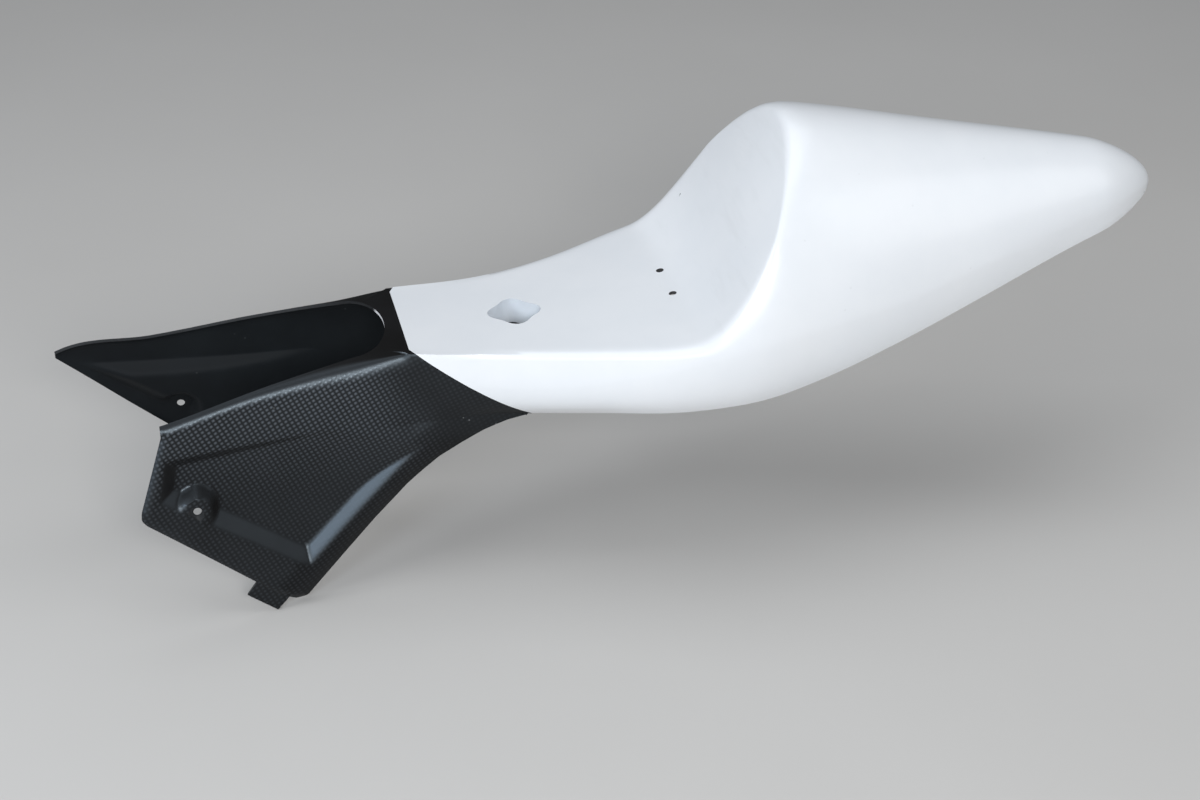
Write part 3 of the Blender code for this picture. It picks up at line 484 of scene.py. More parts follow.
def mesh_object(name, points, faces, hidden=False):
    """A mesh object from points in millimetres, with points that coincide made one."""
    _, first, index = np.unique(np.round(points, 4), axis=0, return_index=True, return_inverse=True)
    index = index.reshape(-1)
    kept = []
    for face in faces:
        ring = [int(index[k]) for k in face]
        ring = [p for n, p in enumerate(ring) if p != ring[n - 1]]
        if len(set(ring)) > 2:
            kept.append(ring)
    mesh = bpy.data.meshes.new(name)
    mesh.from_pydata((points[first] * MM).tolist(), [], kept)
    mesh.update()
    obj = bpy.data.objects.new(name, mesh)
    bpy.context.scene.collection.objects.link(obj)
    if hidden:
        obj.hide_render = True
        obj.display_type = "WIRE"
    return obj, index


def grid_faces(rows, columns, start=0, turned=False):
    """Four-sided faces between neighbours of a grid of points, numbered row by row from start."""
    faces = []
    for i in range(rows - 1):
        for j in range(columns - 1):
            a = start + i * columns + j
            face = [a, a + 1, a + columns + 1, a + columns]
            faces.append(face[::-1] if turned else face)
    return faces


def tube_faces(levels, sides, turned=False):
    """Faces of a tube of rings, one ring after another, closed by a flat cap at each end."""
    faces = []
    for i in range(levels - 1):
        for k in range(sides):
            a, b = i * sides + k, i * sides + (k + 1) % sides
            faces.append([a, b, b + sides, a + sides])
    last = (levels - 1) * sides
    faces += [list(range(sides))[::-1], list(range(last, last + sides))]
    return [face[::-1] for face in faces] if turned else faces


def boolean(obj, other, operation):
    """Joins the other object to this one, or cuts it away."""
    modifier = obj.modifiers.new(f"{operation.lower()} {other.name}", "BOOLEAN")
    modifier.operation = operation
    modifier.solver = "EXACT"
    modifier.object = other


def thicken(obj, wall, inner_slot, edge_slot):
    """Gives a sheet its wall on the inside, with material slots for its inside and its edges."""
    modifier = obj.modifiers.new("wall", "SOLIDIFY")
    modifier.thickness = wall * MM
    modifier.offset = -1
    modifier.use_even_offset = False
    modifier.material_offset = inner_slot
    modifier.material_offset_rim = edge_slot


def rod(name, start, end, radius_start, radius_end):
    """A hidden round cutter: a circle across the line between two points at each of its ends."""
    start, end = np.array(start, float), np.array(end, float)
    axis = (end - start) / np.linalg.norm(end - start)
    side = np.cross(axis, [0, 1, 0] if abs(axis[1]) < 0.9 else [1, 0, 0])
    side /= np.linalg.norm(side)
    other = np.cross(axis, side)
    turn = np.linspace(0, 2 * np.pi, HOLE_SIDES, endpoint=False)[:, None]
    ring = np.cos(turn) * side + np.sin(turn) * other
    points = np.concatenate([start + radius_start * ring, end + radius_end * ring])
    return mesh_object(name, points, tube_faces(2, HOLE_SIDES), hidden=True)[0]


def rim_steps():
    """Rim positions, front to crest, and how many end a row of the seat; the rest end its columns."""
    rows = np.concatenate([np.linspace(0, 1, SEAT_ROWS), np.linspace(1, HUMP_CORNER, HUMP_ROWS)[1:]])
    s = np.linspace(HUMP_CORNER, 2, ARCH_SAMPLES)
    x = rim_points(s)[:, 0]
    wanted = x[0] * np.linspace(1, 0, TOP_COLUMNS // 2 + 1)[1:]
    arch = np.interp(wanted, x[::-1], s[::-1])
    arch[-1] = 2
    return np.concatenate([rows, arch]), len(rows)


def inner_steps(count, length):
    """Steps from 0 to 1, where the last one keeps room for the rounding of the rim."""
    last = min(RIM_STEP / length, 0.5)
    return np.append(np.linspace(0, 1 - last, count), 1)


def seat_grid(rim, row_count):
    """The seat and the backstop: straight rows to the corner of the hump, then rows bent to its arch."""
    rows = rim[:row_count]
    half = TOP_COLUMNS // 2
    grid = []
    for s in rows[:SEAT_ROWS]:
        edge = rim_points(np.array([s]))[0, 0]
        t = inner_steps(half, edge)
        t = np.concatenate([-t[::-1], t[1:]])
        grid.append(seat_point(np.full(len(t), s), t))
    t = np.linspace(-1, 1, TOP_COLUMNS + 1)
    s_low, s_high = rows[SEAT_ROWS - 1], rows[-1]
    arch = np.concatenate([rim[row_count - 1 :], rim[row_count - 1 : -1][::-1]])
    x_low = grid[-1][:, 0]
    x_arch = np.sign(t) * rim_points(arch)[:, 0]
    height = level(TOP_LINE, CREST_Y) - seat_floor(SEAT_END_Y)
    share = (rows[SEAT_ROWS:] - s_low) / (s_high - s_low)
    share = share / (1 + RIM_STEP / height)
    share[-1] = 1
    for n, v in enumerate(share):
        side = rows[SEAT_ROWS + n]
        x_side = rim_points(np.array([side]))[0, 0]
        x = (1 - v) * x_low + v * x_arch + t * (x_side - (1 - v) * x_low[-1] - v * x_arch[-1])
        s = (1 - v) * s_low + v * arch + side - (1 - v) * s_low - v * s_high
        edge = rim_points(s)[:, 0]
        grid.append(seat_point(s, np.where(edge > 0.01, x / np.maximum(edge, 0.01), 0)))
    return np.array(grid)


def side_grid(rim):
    """The outside of the left half, line by line from the rim to the lower edge or the tip."""
    lines = []
    for s in rim:
        ends = side_point(np.array([s, s]), np.array([0.0, 1.0]))
        q = 1 - inner_steps(SIDE_COLUMNS, np.linalg.norm(ends[1] - ends[0]))[::-1]
        line = side_point(np.full(len(q), s), q)
        line[0] = rim_points(np.array([s]))[0]
        lines.append(line)
    return np.array(lines)


def collar_body(name, top, grow, depth):
    """A hidden block: a circle with four lobes that narrows with depth, widened by grow."""
    turn = np.linspace(0, 2 * np.pi, COLLAR_SIDES, endpoint=False)
    outline = COLLAR_RADIUS + COLLAR_LOBE * np.cos(4 * turn)
    middle = seat_floor(COLLAR_Y)
    z = middle + top - (top + depth) * np.linspace(0, 1, COLLAR_LEVELS)
    below = np.clip((middle - z) / COLLAR_DEPTH, 0, COLLAR_TAPER_END)
    scale = 1 - (1 - COLLAR_TAPER) * below**COLLAR_TAPER_POWER
    radius = outline * scale[:, None] + grow
    x, y = radius * np.cos(turn), COLLAR_Y + radius * np.sin(turn)
    points = np.stack([x, y, np.broadcast_to(z[:, None], x.shape)], axis=2).reshape(-1, 3)
    faces = tube_faces(COLLAR_LEVELS, COLLAR_SIDES, turned=True)
    return mesh_object(name, points, faces, hidden=True)[0]


def shoulder_x(y):
    """Half width of the body where it passes the height of the seat."""
    top, belt = level(TOP_LINE, y), level(BELT_LINE, y)
    rise = np.clip((seat_floor(y) - belt) / (top - belt), 0, 1)
    return half_width(y) * np.sqrt(1 - rise ** (1 / SHOULDER_POWER))


def ridge(y):
    """X and Z of the corner line between the top of the yoke and the outside of a wing."""
    seam = SEAT_FRONT_Y + FRONT_CORNER
    behind = [(v, float(shoulder_x(v))) for v in (seam, RIDGE_STATION_Y, SIDE_FOOT_Y)]
    floor = [(v, float(seat_floor(v))) for v in (seam, RIDGE_STATION_Y, SIDE_FOOT_Y)]
    return along(RIDGE_X + behind, y), along(RIDGE_Z + floor, y)


def body_x(y, z):
    """Half width of the tail's body at a height, also below the belt."""
    top, belt, low = level(TOP_LINE, y), level(BELT_LINE, y), level(LOW_LINE, y)
    rise = np.clip((z - belt) / (top - belt), 0, 1)
    down = np.clip((belt - z) / (belt - low), 0, 1)
    upper = half_width(y) * np.sqrt(1 - rise ** (1 / SHOULDER_POWER))
    return upper - along(TUCK, y) * down**TUCK_POWER


def past_line(y, z, a, b):
    """Distance of (y, z) to the left of the line from a to b."""
    direction = np.array(b, float) - np.array(a, float)
    direction /= np.linalg.norm(direction)
    return direction[0] * (z - a[1]) - direction[1] * (y - a[0])


def near_path(y, z, path):
    """Distance of (y, z) from a line of points."""
    found = np.full(np.shape(y), FAR)
    for a, b in zip(path[:-1], path[1:]):
        a, b = np.array(a, float), np.array(b, float)
        step = b - a
        t = np.clip(((y - a[0]) * step[0] + (z - a[1]) * step[1]) / (step @ step), 0, 1)
        found = np.minimum(found, np.hypot(y - a[0] - t * step[0], z - a[1] - t * step[1]))
    return found


def recess(y, z, pointed):
    """Depth of the hollow in a wing: the lesser of a fading floor and sloping walls, less the boss."""
    corners = [RECESS_REAR, RECESS_TOP_FRONT, RECESS_LOW_FRONT, RECESS_FOOT]
    sides = [(0, 1), (2, 3), (3, 0)] if pointed else [(0, 1), (1, 2), (2, 3), (3, 0)]
    inside = np.full(np.shape(y), FAR)
    for a, b in sides:
        inside = soft_min(inside, past_line(y, z, corners[a], corners[b]), RECESS_ROUND)
    fade = (RECESS_FADE_Y - y) / RECESS_FADE_LENGTH + (RECESS_REAR[1] - z) / RECESS_FADE_DROP
    fade = 1 - (1 - np.clip(fade / RECESS_FADE_SPAN, 0, 1)) ** 2
    slope = RECESS_DEPTH / RECESS_WALL_WIDTH
    wall = slope * (inside + np.hypot(inside, RECESS_MOUTH_ROUND)) / 2
    depth = soft_min(RECESS_DEPTH * fade, wall, RECESS_ROUND)
    boss = np.clip((np.hypot(y - BOSS_Y, z - BOSS_Z) - BOSS_RADIUS) / BOSS_SHOULDER, 0, 1)
    return np.clip(depth, 0, None) * boss


def wing_x(y, z, pointed):
    """Outside of a wing: the body's side blends to a leaning sheet, less the edge rolls and the recess."""
    x_ridge, z_ridge = ridge(y)
    sheet = x_ridge + WING_LEAN * (z_ridge - z)
    start = (SEAT_FRONT_Y + FRONT_CORNER, float(seat_floor(SEAT_FRONT_Y)))
    end = (SIDE_FOOT_Y, float(level(LOW_LINE, SIDE_FOOT_Y)))
    away = np.clip(-past_line(y, z, start, end), 0, None)
    share = ramp(away / WING_BLEND_LENGTH)
    x = body_x(y, z) * (1 - share) + sheet * share
    rear, front = wing_edges(pointed)
    x -= share * REAR_TUCK * np.clip(1 - near_path(y, z, rear) / REAR_TUCK_WIDTH, 0, 1) ** 2
    x -= EDGE_ROLL * np.clip(1 - near_path(y, z, front) / EDGE_ROLL_WIDTH, 0, 1) ** 2
    return x - recess(y, z, pointed)


def wing_edges(pointed):
    """The rear edge and the front edge of a wing in the side view, each ending at the rounded foot."""
    foot = np.array(WING_FOOT)
    nose = np.array(TIP_NOSE if pointed else WING_NOSE)
    up = np.array(WING_REAR_EDGE[0]) - foot
    ahead = nose - foot
    rear_stop = foot + CORNER_ROUND * up / np.linalg.norm(up)
    front_stop = foot + CORNER_ROUND * ahead / np.linalg.norm(ahead)
    middle = (rear_stop + front_stop + 2 * foot) / 4
    foot_y, foot_z = SIDE_FOOT_Y, float(level(LOW_LINE, SIDE_FOOT_Y))
    rear = [(foot_y, foot_z), *WING_REAR_EDGE[::-1], tuple(rear_stop), tuple(middle)]
    y_front = WING_TIP_Y if pointed else WING_FRONT_Y
    z_front = float(ridge(np.array(y_front))[1]) - float(along(RIDGE_REACH, y_front))
    top_front = np.array([y_front, z_front])
    to_top = (top_front - nose) / np.linalg.norm(top_front - nose)
    to_foot = (foot - nose) / np.linalg.norm(foot - nose)
    corner = [nose + CORNER_ROUND * step for step in (to_top, (to_top + to_foot) / 4, to_foot)]
    front = [tuple(top_front), *map(tuple, corner), tuple(front_stop), tuple(middle)]
    return rear, front


def spaced(path, shares):
    """Points at the given shares of the length of a line of points."""
    path = np.array(path, float)
    length = np.concatenate([[0], np.cumsum(np.linalg.norm(np.diff(path, axis=0), axis=1))])
    wanted = np.array(shares) * length[-1]
    return np.stack([np.interp(wanted, length, path[:, k]) for k in range(path.shape[1])], axis=1)


def joint_line(s):
    """A line over the shell at rim position s: round its shoulder, then down its side."""
    y = SEAT_FRONT_Y + FRONT_CORNER
    size, reach = float(along(RIDGE_ROUND, y)), float(along(RIDGE_REACH, y))
    corner = rim_points(np.array([s]))[0]
    inner = seat_point(np.array([s]), np.array([1 - size / corner[0]]))[0]
    half = ROUND_STEPS // 2
    upper = np.linspace(joint_share(size), joint_share(reach), half + 1)[:-1]
    shares = np.concatenate([upper, joint_shares()])
    side = side_point(np.full(len(shares), s), shares)
    return np.concatenate([bent(inner, corner, side[0], half)[:-1], side])


def joint_share(distance):
    """Share of the way down the side at the joint that a distance from the rim makes."""
    return distance / np.linalg.norm(np.subtract(*side_point(np.zeros(2), np.array([0.0, 1.0]))))


def joint_shares():
    """Shares of the way down the side at the joint, below the rounded shoulder."""
    first = joint_share(float(along(RIDGE_REACH, SEAT_FRONT_Y + FRONT_CORNER)))
    return np.linspace(first, 1, WING_COLUMNS + 1)


def bent(start, corner, end, steps):
    """Points of a curve that leaves the start toward the corner and comes to the end from it."""
    t = np.linspace(0, 1, steps + 1)[:, None]
    return (1 - t) ** 2 * start + 2 * t * (1 - t) * corner + t**2 * end


def joint_rows():
    """The yoke's first row, a gap ahead of the shell, and a second one that carries its surface on."""
    edge = joint_line(0)
    slant = edge[-1] - edge[ROUND_STEPS]
    off = np.array([0, slant[2], -slant[1]]) / np.hypot(slant[1], slant[2])
    share = np.clip(np.arange(len(edge)) / ROUND_STEPS, 0, 1)[:, None]
    first = edge + GAP * (share * off + (1 - share) * [0, -1, 0])
    ahead = edge - joint_line(NEARBY)
    ahead /= np.linalg.norm(ahead, axis=1)[:, None]
    return first, first + JOINT_STEP * ahead


def wing_rows(pointed):
    """Y of the rows of a wing: even steps from the joint to the notch's corner, then on to the front."""
    y_front = WING_TIP_Y if pointed else WING_FRONT_Y
    first = np.linspace(SEAT_FRONT_Y + FRONT_CORNER, NOTCH_CORNER_Y, NOTCH_ROWS + 1)
    return np.concatenate([first, np.linspace(NOTCH_CORNER_Y, y_front, WING_ROWS + 1)[1:]])


def wing_grid(pointed):
    """Outside of a wing in rows from joint to front: the rounded corner, then a face between its edges."""
    rows = wing_rows(pointed)
    x_ridge, z_ridge = ridge(rows)
    size = along(RIDGE_ROUND, rows)
    flange = flange_point(rows, np.ones(len(rows)))
    corner = np.stack([x_ridge, rows, z_ridge], axis=1)
    inward = flange - corner
    reach = np.linalg.norm(inward, axis=1)
    inner = corner + inward * (np.minimum(size, INNER_SHARE * reach) / reach)[:, None]
    rear, front = wing_edges(pointed)
    shares = np.linspace(0, 1, WING_COLUMNS + 1)
    joint = joint_rows()
    seam = joint[0][ROUND_STEPS:]
    top = np.stack([rows, z_ridge - along(RIDGE_REACH, rows)], axis=1)
    top[0] = seam[0, 1:]
    low = spaced(rear, np.linspace(0, 1, len(rows)))
    low[0] = seam[-1, 1:]
    end = spaced(front, shares)
    v = np.linspace(0, 1, len(rows))[:, None, None]
    w = shares[None, :, None]
    plane = (1 - w) * top[:, None] + w * low[:, None]
    plane += (1 - v) * (seam[None, :, 1:] - (1 - w) * top[0] - w * low[0])
    plane += v * (end[None] - (1 - w) * top[-1] - w * low[-1])
    face = np.concatenate([wing_x(plane[..., 0], plane[..., 1], pointed)[..., None], plane], axis=2)
    rounds = [bent(i, c, f[0], ROUND_STEPS)[:-1] for i, c, f in zip(inner, corner, face)]
    grid = np.concatenate([np.array(rounds), face], axis=1)
    grid[:2] = joint
    return grid


def flange_point(y, t):
    """The edge of the notch beside the ridge at t 1."""
    x_ridge, _ = ridge(y)
    return np.stack([x_ridge - t * along(FLANGE_WIDTH, y), y, along(NOTCH_Z, y)], axis=1)


def notch_edge(pointed):
    """The edge of the notch: from the middle of the bridge round its corner, then along one wing."""
    corner_x = float(flange_point(np.array([NOTCH_CORNER_Y]), np.ones(1))[0, 0])
    turn = np.linspace(0, np.pi / 2, BRIDGE_COLUMNS + NOTCH_ROWS + 1)
    y = NOTCH_CORNER_Y + (NOTCH_REAR_Y - NOTCH_CORNER_Y) * np.cos(turn)
    bridge = np.stack([corner_x * np.sin(turn), y, along(NOTCH_Z, y)], axis=1)
    ahead = wing_rows(pointed)[NOTCH_ROWS + 1 :]
    return np.concatenate([bridge, flange_point(ahead, np.ones(len(ahead)))])


def ribbon(pointed, wing):
    """The top of the yoke on one side: straight steps from the joint and the corner to the notch."""
    rim_x = rim_points(np.zeros(1))[0, 0]
    t = np.linspace(0, 1 - RIM_STEP / rim_x, BRIDGE_COLUMNS)
    seam = seat_point(np.zeros(len(t)), t) - [0, GAP, 0]
    outer = np.concatenate([seam, wing[:, 0]])
    inner = notch_edge(pointed)
    steps = np.linspace(0, 1, FLANGE_STEPS)[None, :, None]
    return (1 - steps) * outer[:, None] + steps * inner[:, None]


def lap(seam, behind, normals):
    """A step down from the joint by the shell's wall, then a strip that runs back under the shell."""
    down = SHELL_WALL + GAP
    rows = [seam, seam - down * normals]
    rows += [points - down * normals for points in behind]
    return np.array(rows)


def side_lap(wing):
    """The strip under the side of the shell, between the rounded shoulder and the lower edge."""
    q = joint_shares()[LAP_SKIP_TOP:-LAP_SKIP_FOOT]
    length = SEAT_END_Y - SEAT_FRONT_Y
    behind = [side_point(np.full(len(q), LAP_LENGTH * k / length), q) for k in (0.5, 1.0)]
    along_q = side_point(np.zeros(len(q)), q + NEARBY) - side_point(np.zeros(len(q)), q - NEARBY)
    along_s = side_point(np.full(len(q), NEARBY), q) - side_point(np.zeros(len(q)), q)
    normals = np.cross(along_q, along_s)
    normals /= np.linalg.norm(normals, axis=1)[:, None]
    seam = wing[0, ROUND_STEPS + LAP_SKIP_TOP : ROUND_STEPS + LAP_SKIP_TOP + len(q)]
    return lap(seam, behind, normals)


def top_lap(ribbons):
    """The strip under the front of the seat."""
    left = ribbons[0][:BRIDGE_COLUMNS, 0]
    seam = np.concatenate([left[:0:-1] * [-1, 1, 1], left])
    t = seam[:, 0] / rim_points(np.zeros(1))[0, 0]
    length = SEAT_END_Y - SEAT_FRONT_Y
    behind = [seat_point(np.full(len(t), LAP_LENGTH * k / length), t) for k in (0.5, 1.0)]
    fall = (SEAT_LOW_Y - SEAT_FRONT_Y) / SEAT_ARC_RADIUS
    return lap(seam, behind, np.array([[0, fall, 1]]) / np.hypot(fall, 1))


def tongue(pointed, side):
    """A hidden flat block along the lower edge of a wing, set in behind its outside."""
    nose, foot = np.array(TIP_NOSE if pointed else WING_NOSE), np.array(WING_FOOT)
    run = (foot - nose) / np.linalg.norm(foot - nose)
    out = np.array([run[1], -run[0]])
    middle = nose + run * (TONGUE_Y - nose[0]) / run[0]
    outline = [(-0.5, -TONGUE_ROOT), (0.5, -TONGUE_ROOT), (0.4, TONGUE_REACH), (-0.5, TONGUE_REACH)]
    points = []
    for across, reach in outline:
        y, z = middle + run * across * TONGUE_WIDTH + out * reach
        root = middle + run * across * TONGUE_WIDTH - out * TONGUE_ROOT
        x = float(wing_x(np.array(root[0]), np.array(root[1]), pointed))
        x += WING_LEAN * (root[1] - z) - TONGUE_INSET
        points += [(side * x, y, z), (side * (x - TONGUE_THICKNESS), y, z)]
    ring = [0, 2, 4, 6]
    faces = [ring[::-1], [k + 1 for k in ring]]
    faces += [[ring[k], ring[(k + 1) % 4], ring[(k + 1) % 4] + 1, ring[k] + 1] for k in range(4)]
    if side < 0:
        faces = [face[::-1] for face in faces]
    name = "tongue_left" if side > 0 else "tongue_right"
    return mesh_object(name, np.array(points), faces, hidden=True)[0]


def yoke_surface():
    """Every patch of the yoke's outside, as (grid of points, whether its faces are turned)."""
    wings = [wing_grid(False), wing_grid(True)]
    ribbons = [ribbon(False, wings[0]), ribbon(True, wings[1])]
    mirror = np.array([-1, 1, 1])
    patches = [(wings[0], True), (wings[1] * mirror, False)]
    patches += [(ribbons[0], False), (ribbons[1] * mirror, True)]
    patches += [(top_lap(ribbons), False)]
    patches += [(side_lap(wings[0]), False), (side_lap(wings[1]) * mirror, True)]
    return patches


def dress(obj, materials, slot=0):
    """Gives the object its material slots, with every face in one of them."""
    obj.data.materials.clear()
    for material in materials:
        obj.data.materials.append(material)
    obj.data.polygons.foreach_set("material_index", np.full(len(obj.data.polygons), slot, np.int32))


def finished(obj):
    """Keeps the mesh that the modifiers make, so that its sharp edges can be marked."""
    graph = bpy.context.evaluated_depsgraph_get()
    made = bpy.data.meshes.new_from_object(obj.evaluated_get(graph))
    obj.modifiers.clear()
    obj.data = made
    made.shade_smooth()
    made.set_sharp_from_angle(angle=SHARP_ANGLE)
    return obj


def remove_cutters():
    """Deletes the hidden blocks once the pieces keep what they cut or joined."""
    for obj in list(bpy.data.objects):
        if obj.hide_render and obj.display_type == "WIRE" and obj.parent is None:
            bpy.data.objects.remove(obj)


def soften_rim(obj, rims):
    """Eases the rim: each point near it moves in rounds toward the mean of the middles of its edges.
    Points that are far from the rim or close to the joint stay."""
    mesh = obj.data
    points = np.empty(len(mesh.vertices) * 3, np.float32)
    mesh.vertices.foreach_get("co", points)
    points = points.reshape(-1, 3) / MM
    ends = np.empty(len(mesh.edges) * 2, np.int32)
    mesh.edges.foreach_get("vertices", ends)
    ends = ends.reshape(-1, 2)
    rim = points[np.concatenate(rims)]
    away = np.linalg.norm(points[:, None] - rim, axis=2).min(axis=1)
    share = np.clip(RIM_SOFT_FULL - away / RIM_SOFT_REACH, 0, 1)
    share *= ramp((points[:, 1] - SEAT_FRONT_Y - RIM_SOFT_START) / RIM_SOFT_LENGTH)
    count = np.bincount(ends.ravel(), minlength=len(points))[:, None]
    for _ in range(RIM_SOFT_ROUNDS):
        middles = points[ends].mean(axis=1)
        total = np.zeros(points.shape)
        np.add.at(total, ends[:, 0], middles)
        np.add.at(total, ends[:, 1], middles)
        points += RIM_SOFT_FACTOR * share[:, None] * (total / count - points)
    mesh.vertices.foreach_set("co", (points * MM).astype(np.float32).ravel())
    mesh.update()


def shell_sheet():
    """The shell's outside: the seat grid and the two sides, which share the points of the rim."""
    rim, row_count = rim_steps()
    top, side = seat_grid(rim, row_count), side_grid(rim)
    top[:, -1] = side[:row_count, 0]
    top[:, 0] = top[:, -1] * [-1, 1, 1]
    half = TOP_COLUMNS // 2
    top[-1, half:] = side[row_count - 1 :, 0][::-1]
    top[-1, : half + 1] = top[-1, half:][::-1] * [-1, 1, 1]
    pieces = [top.reshape(-1, 3), side.reshape(-1, 3), side.reshape(-1, 3) * [-1, 1, 1]]
    starts = np.cumsum([0] + [len(piece) for piece in pieces])
    faces = grid_faces(*top.shape[:2])
    faces += grid_faces(*side.shape[:2], start=starts[1])
    faces += grid_faces(*side.shape[:2], start=starts[2], turned=True)
    obj, index = mesh_object("shell_skin", np.concatenate(pieces) + 0.0, faces)
    firsts = [index[starts[k] + np.arange(len(rim)) * side.shape[1]] for k in (1, 2)]
    soften_rim(obj, firsts)
    return obj


def shell_skin(materials):
    """The white shell: its outside given a wall, then the collar and the screw holes."""
    obj = shell_sheet()
    dress(obj, materials)
    thicken(obj, SHELL_WALL, 1, 2)
    outside = collar_body("collar_outside", -SHELL_WALL / 2, COLLAR_WALL, COLLAR_DEPTH)
    inside = collar_body("collar_inside", CUTTER_MARGIN, 0.0, COLLAR_DEPTH + CUTTER_MARGIN)
    # Slot 3 is the gel coat with painted shade, for the collar's wall
    for cutter, operation, slot in ((outside, "UNION", 1), (inside, "DIFFERENCE", 3)):
        dress(cutter, materials, slot)
        boolean(obj, cutter, operation)
    for name, x in (("left", SCREW_SPACING / 2), ("right", -SCREW_SPACING / 2)):
        ends = (x, 0, -CUTTER_REACH), (x, 0, CUTTER_REACH)
        cutter = rod(f"screw_cutter_{name}", *ends, SCREW_HOLE_RADIUS, SCREW_HOLE_RADIUS)
        dress(cutter, materials, 2)
        boolean(obj, cutter, "DIFFERENCE")
    return obj


def yoke_skin(materials):
    """The black yoke: its outside given a wall, then the tongues and the sunk holes."""
    points, faces, start = [], [], 0
    for grid, turned in yoke_surface():
        faces += grid_faces(*grid.shape[:2], start=start, turned=turned)
        points.append(grid.reshape(-1, 3))
        start += points[-1].shape[0]
    obj, _ = mesh_object("yoke_skin", np.concatenate(points) + 0.0, faces)
    dress(obj, materials)
    thicken(obj, YOKE_WALL, 1, 2)
    for name, side in (("left", 1), ("right", -1)):
        flap = tongue(side < 0, side)
        dress(flap, materials)
        boolean(obj, flap, "UNION")
        x = float(wing_x(np.array(BOSS_Y), np.array(BOSS_Z), side < 0))
        deep = [(side * (x + reach), BOSS_Y, BOSS_Z) for reach in (CUTTER_REACH, -CUTTER_REACH)]
        hole = rod(f"hole_{name}", *deep, WING_HOLE_RADIUS, WING_HOLE_RADIUS)
        mouth = (COUNTERSINK_DEPTH, -COUNTERSINK_DEPTH)
        sunk = [(side * (x + reach), BOSS_Y, BOSS_Z) for reach in mouth]
        wide = 2 * COUNTERSINK_RADIUS - WING_HOLE_RADIUS
        sink = rod(f"countersink_{name}", *sunk, wide, WING_HOLE_RADIUS)
        for cutter in (hole, sink):
            dress(cutter, materials, 2)
            boolean(obj, cutter, "DIFFERENCE")
    return obj


class Nodes:
    """Short calls that add and link shader nodes in one tree."""

    def __init__(self, tree):
        self.tree = tree

    def add(self, kind, **values):
        """A new node with the given properties."""
        node = self.tree.nodes.new(kind)
        for name, value in values.items():
            setattr(node, name, value)
        return node

    def set(self, node, **values):
        """Sets or links inputs: i0 is the first one, and a name has _ for each space."""
        for name, value in values.items():
            key = int(name[1:]) if name[0] == "i" and name[1:].isdigit() else name.replace("_", " ")
            socket = node.inputs[key]
            if isinstance(value, bpy.types.NodeSocket):
                self.tree.links.new(value, socket)
            else:
                socket.default_value = value
        return node

    def math(self, operation, a, b=0.0, c=0.0):
        """One step of arithmetic."""
        node = self.add("ShaderNodeMath", operation=operation)
        return self.set(node, i0=a, i1=b, i2=c).outputs[0]

    def ramp(self, value, low, high, to_low=0.0, to_high=1.0):
        """A smooth step of the value from low to high."""
        node = self.add("ShaderNodeMapRange", interpolation_type="SMOOTHSTEP")
        self.set(node, i0=value, i1=low, i2=high, i3=to_low, i4=to_high)
        return node.outputs[0]

    def mix(self, share, a, b, most=1.0):
        """Colour a, with the given share of colour b, times the most that it may be."""
        if most < 1:
            share = self.math("MULTIPLY", share, most)
        node = self.add("ShaderNodeMix", data_type="RGBA")
        return self.set(node, i0=share, i6=a, i7=b).outputs[2]

    def noise(self, place, scale, detail=3.0, roughness=0.5):
        """Noise from 0 to 1 at a place."""
        node = self.add("ShaderNodeTexNoise")
        self.set(node, Vector=place, Scale=scale, Detail=detail, Roughness=roughness)
        return node.outputs["Fac"]

    def place(self):
        """The place on the object, in metres."""
        return self.add("ShaderNodeTexCoord").outputs["Object"]

    def parts(self, vector):
        """The X, Y and Z of a vector."""
        return self.set(self.add("ShaderNodeSeparateXYZ"), Vector=vector).outputs

    def facing(self):
        """The X, Y and Z of the direction that a face looks in."""
        return self.parts(self.add("ShaderNodeNewGeometry").outputs["Normal"])


def marks(n, place, spots):
    """A mask of small marks, each (X, Y, Z, radius) in millimetres."""
    found = 0.0
    for x, y, z, radius in spots:
        away = n.add("ShaderNodeVectorMath", operation="DISTANCE")
        n.set(away, i0=place, i1=(x * MM, y * MM, z * MM))
        dot = n.ramp(away.outputs["Value"], MARK_CORE * radius * MM, radius * MM, 1.0, 0.0)
        found = n.math("MAXIMUM", dot, found)
    return found


def new_group(name, inputs, outputs):
    """A shader node group with named sockets, from (name, default) inputs and (name, type) outputs."""
    tree = bpy.data.node_groups.new(name, "ShaderNodeTree")
    for label, value in inputs:
        socket = tree.interface.new_socket(name=label, in_out="INPUT", socket_type="NodeSocketFloat")
        socket.default_value = value
    for label, kind in outputs:
        tree.interface.new_socket(name=label, in_out="OUTPUT", socket_type=kind)
    nodes = Nodes(tree)
    return tree, nodes, nodes.add("NodeGroupInput"), nodes.add("NodeGroupOutput")


def surface_wear_group():
    """Soft cloudiness as a value around 0, and a mask of small specks."""
    tree, n, given, made = new_group(
        "surface wear",
        [("Cloud Size", 60.0), ("Speck Size", 900.0)],
        [("Cloud", "NodeSocketFloat"), ("Specks", "NodeSocketFloat")],
    )
    place = n.place()
    cloud = n.noise(place, scale=8.0, detail=4.0, roughness=0.6)
    n.tree.links.new(given.outputs["Cloud Size"], cloud.node.inputs["Scale"])
    cell = n.add("ShaderNodeTexVoronoi")
    n.set(cell, Vector=place)
    n.tree.links.new(given.outputs["Speck Size"], cell.inputs["Scale"])
    rare = n.math("GREATER_THAN", cell.outputs["Color"], 0.9)
    dot = n.ramp(cell.outputs["Distance"], 0.10, 0.22, 1.0, 0.0)
    n.set(made, Cloud=n.math("SUBTRACT", cloud, 0.5), Specks=n.math("MULTIPLY", dot, rare))
    return tree


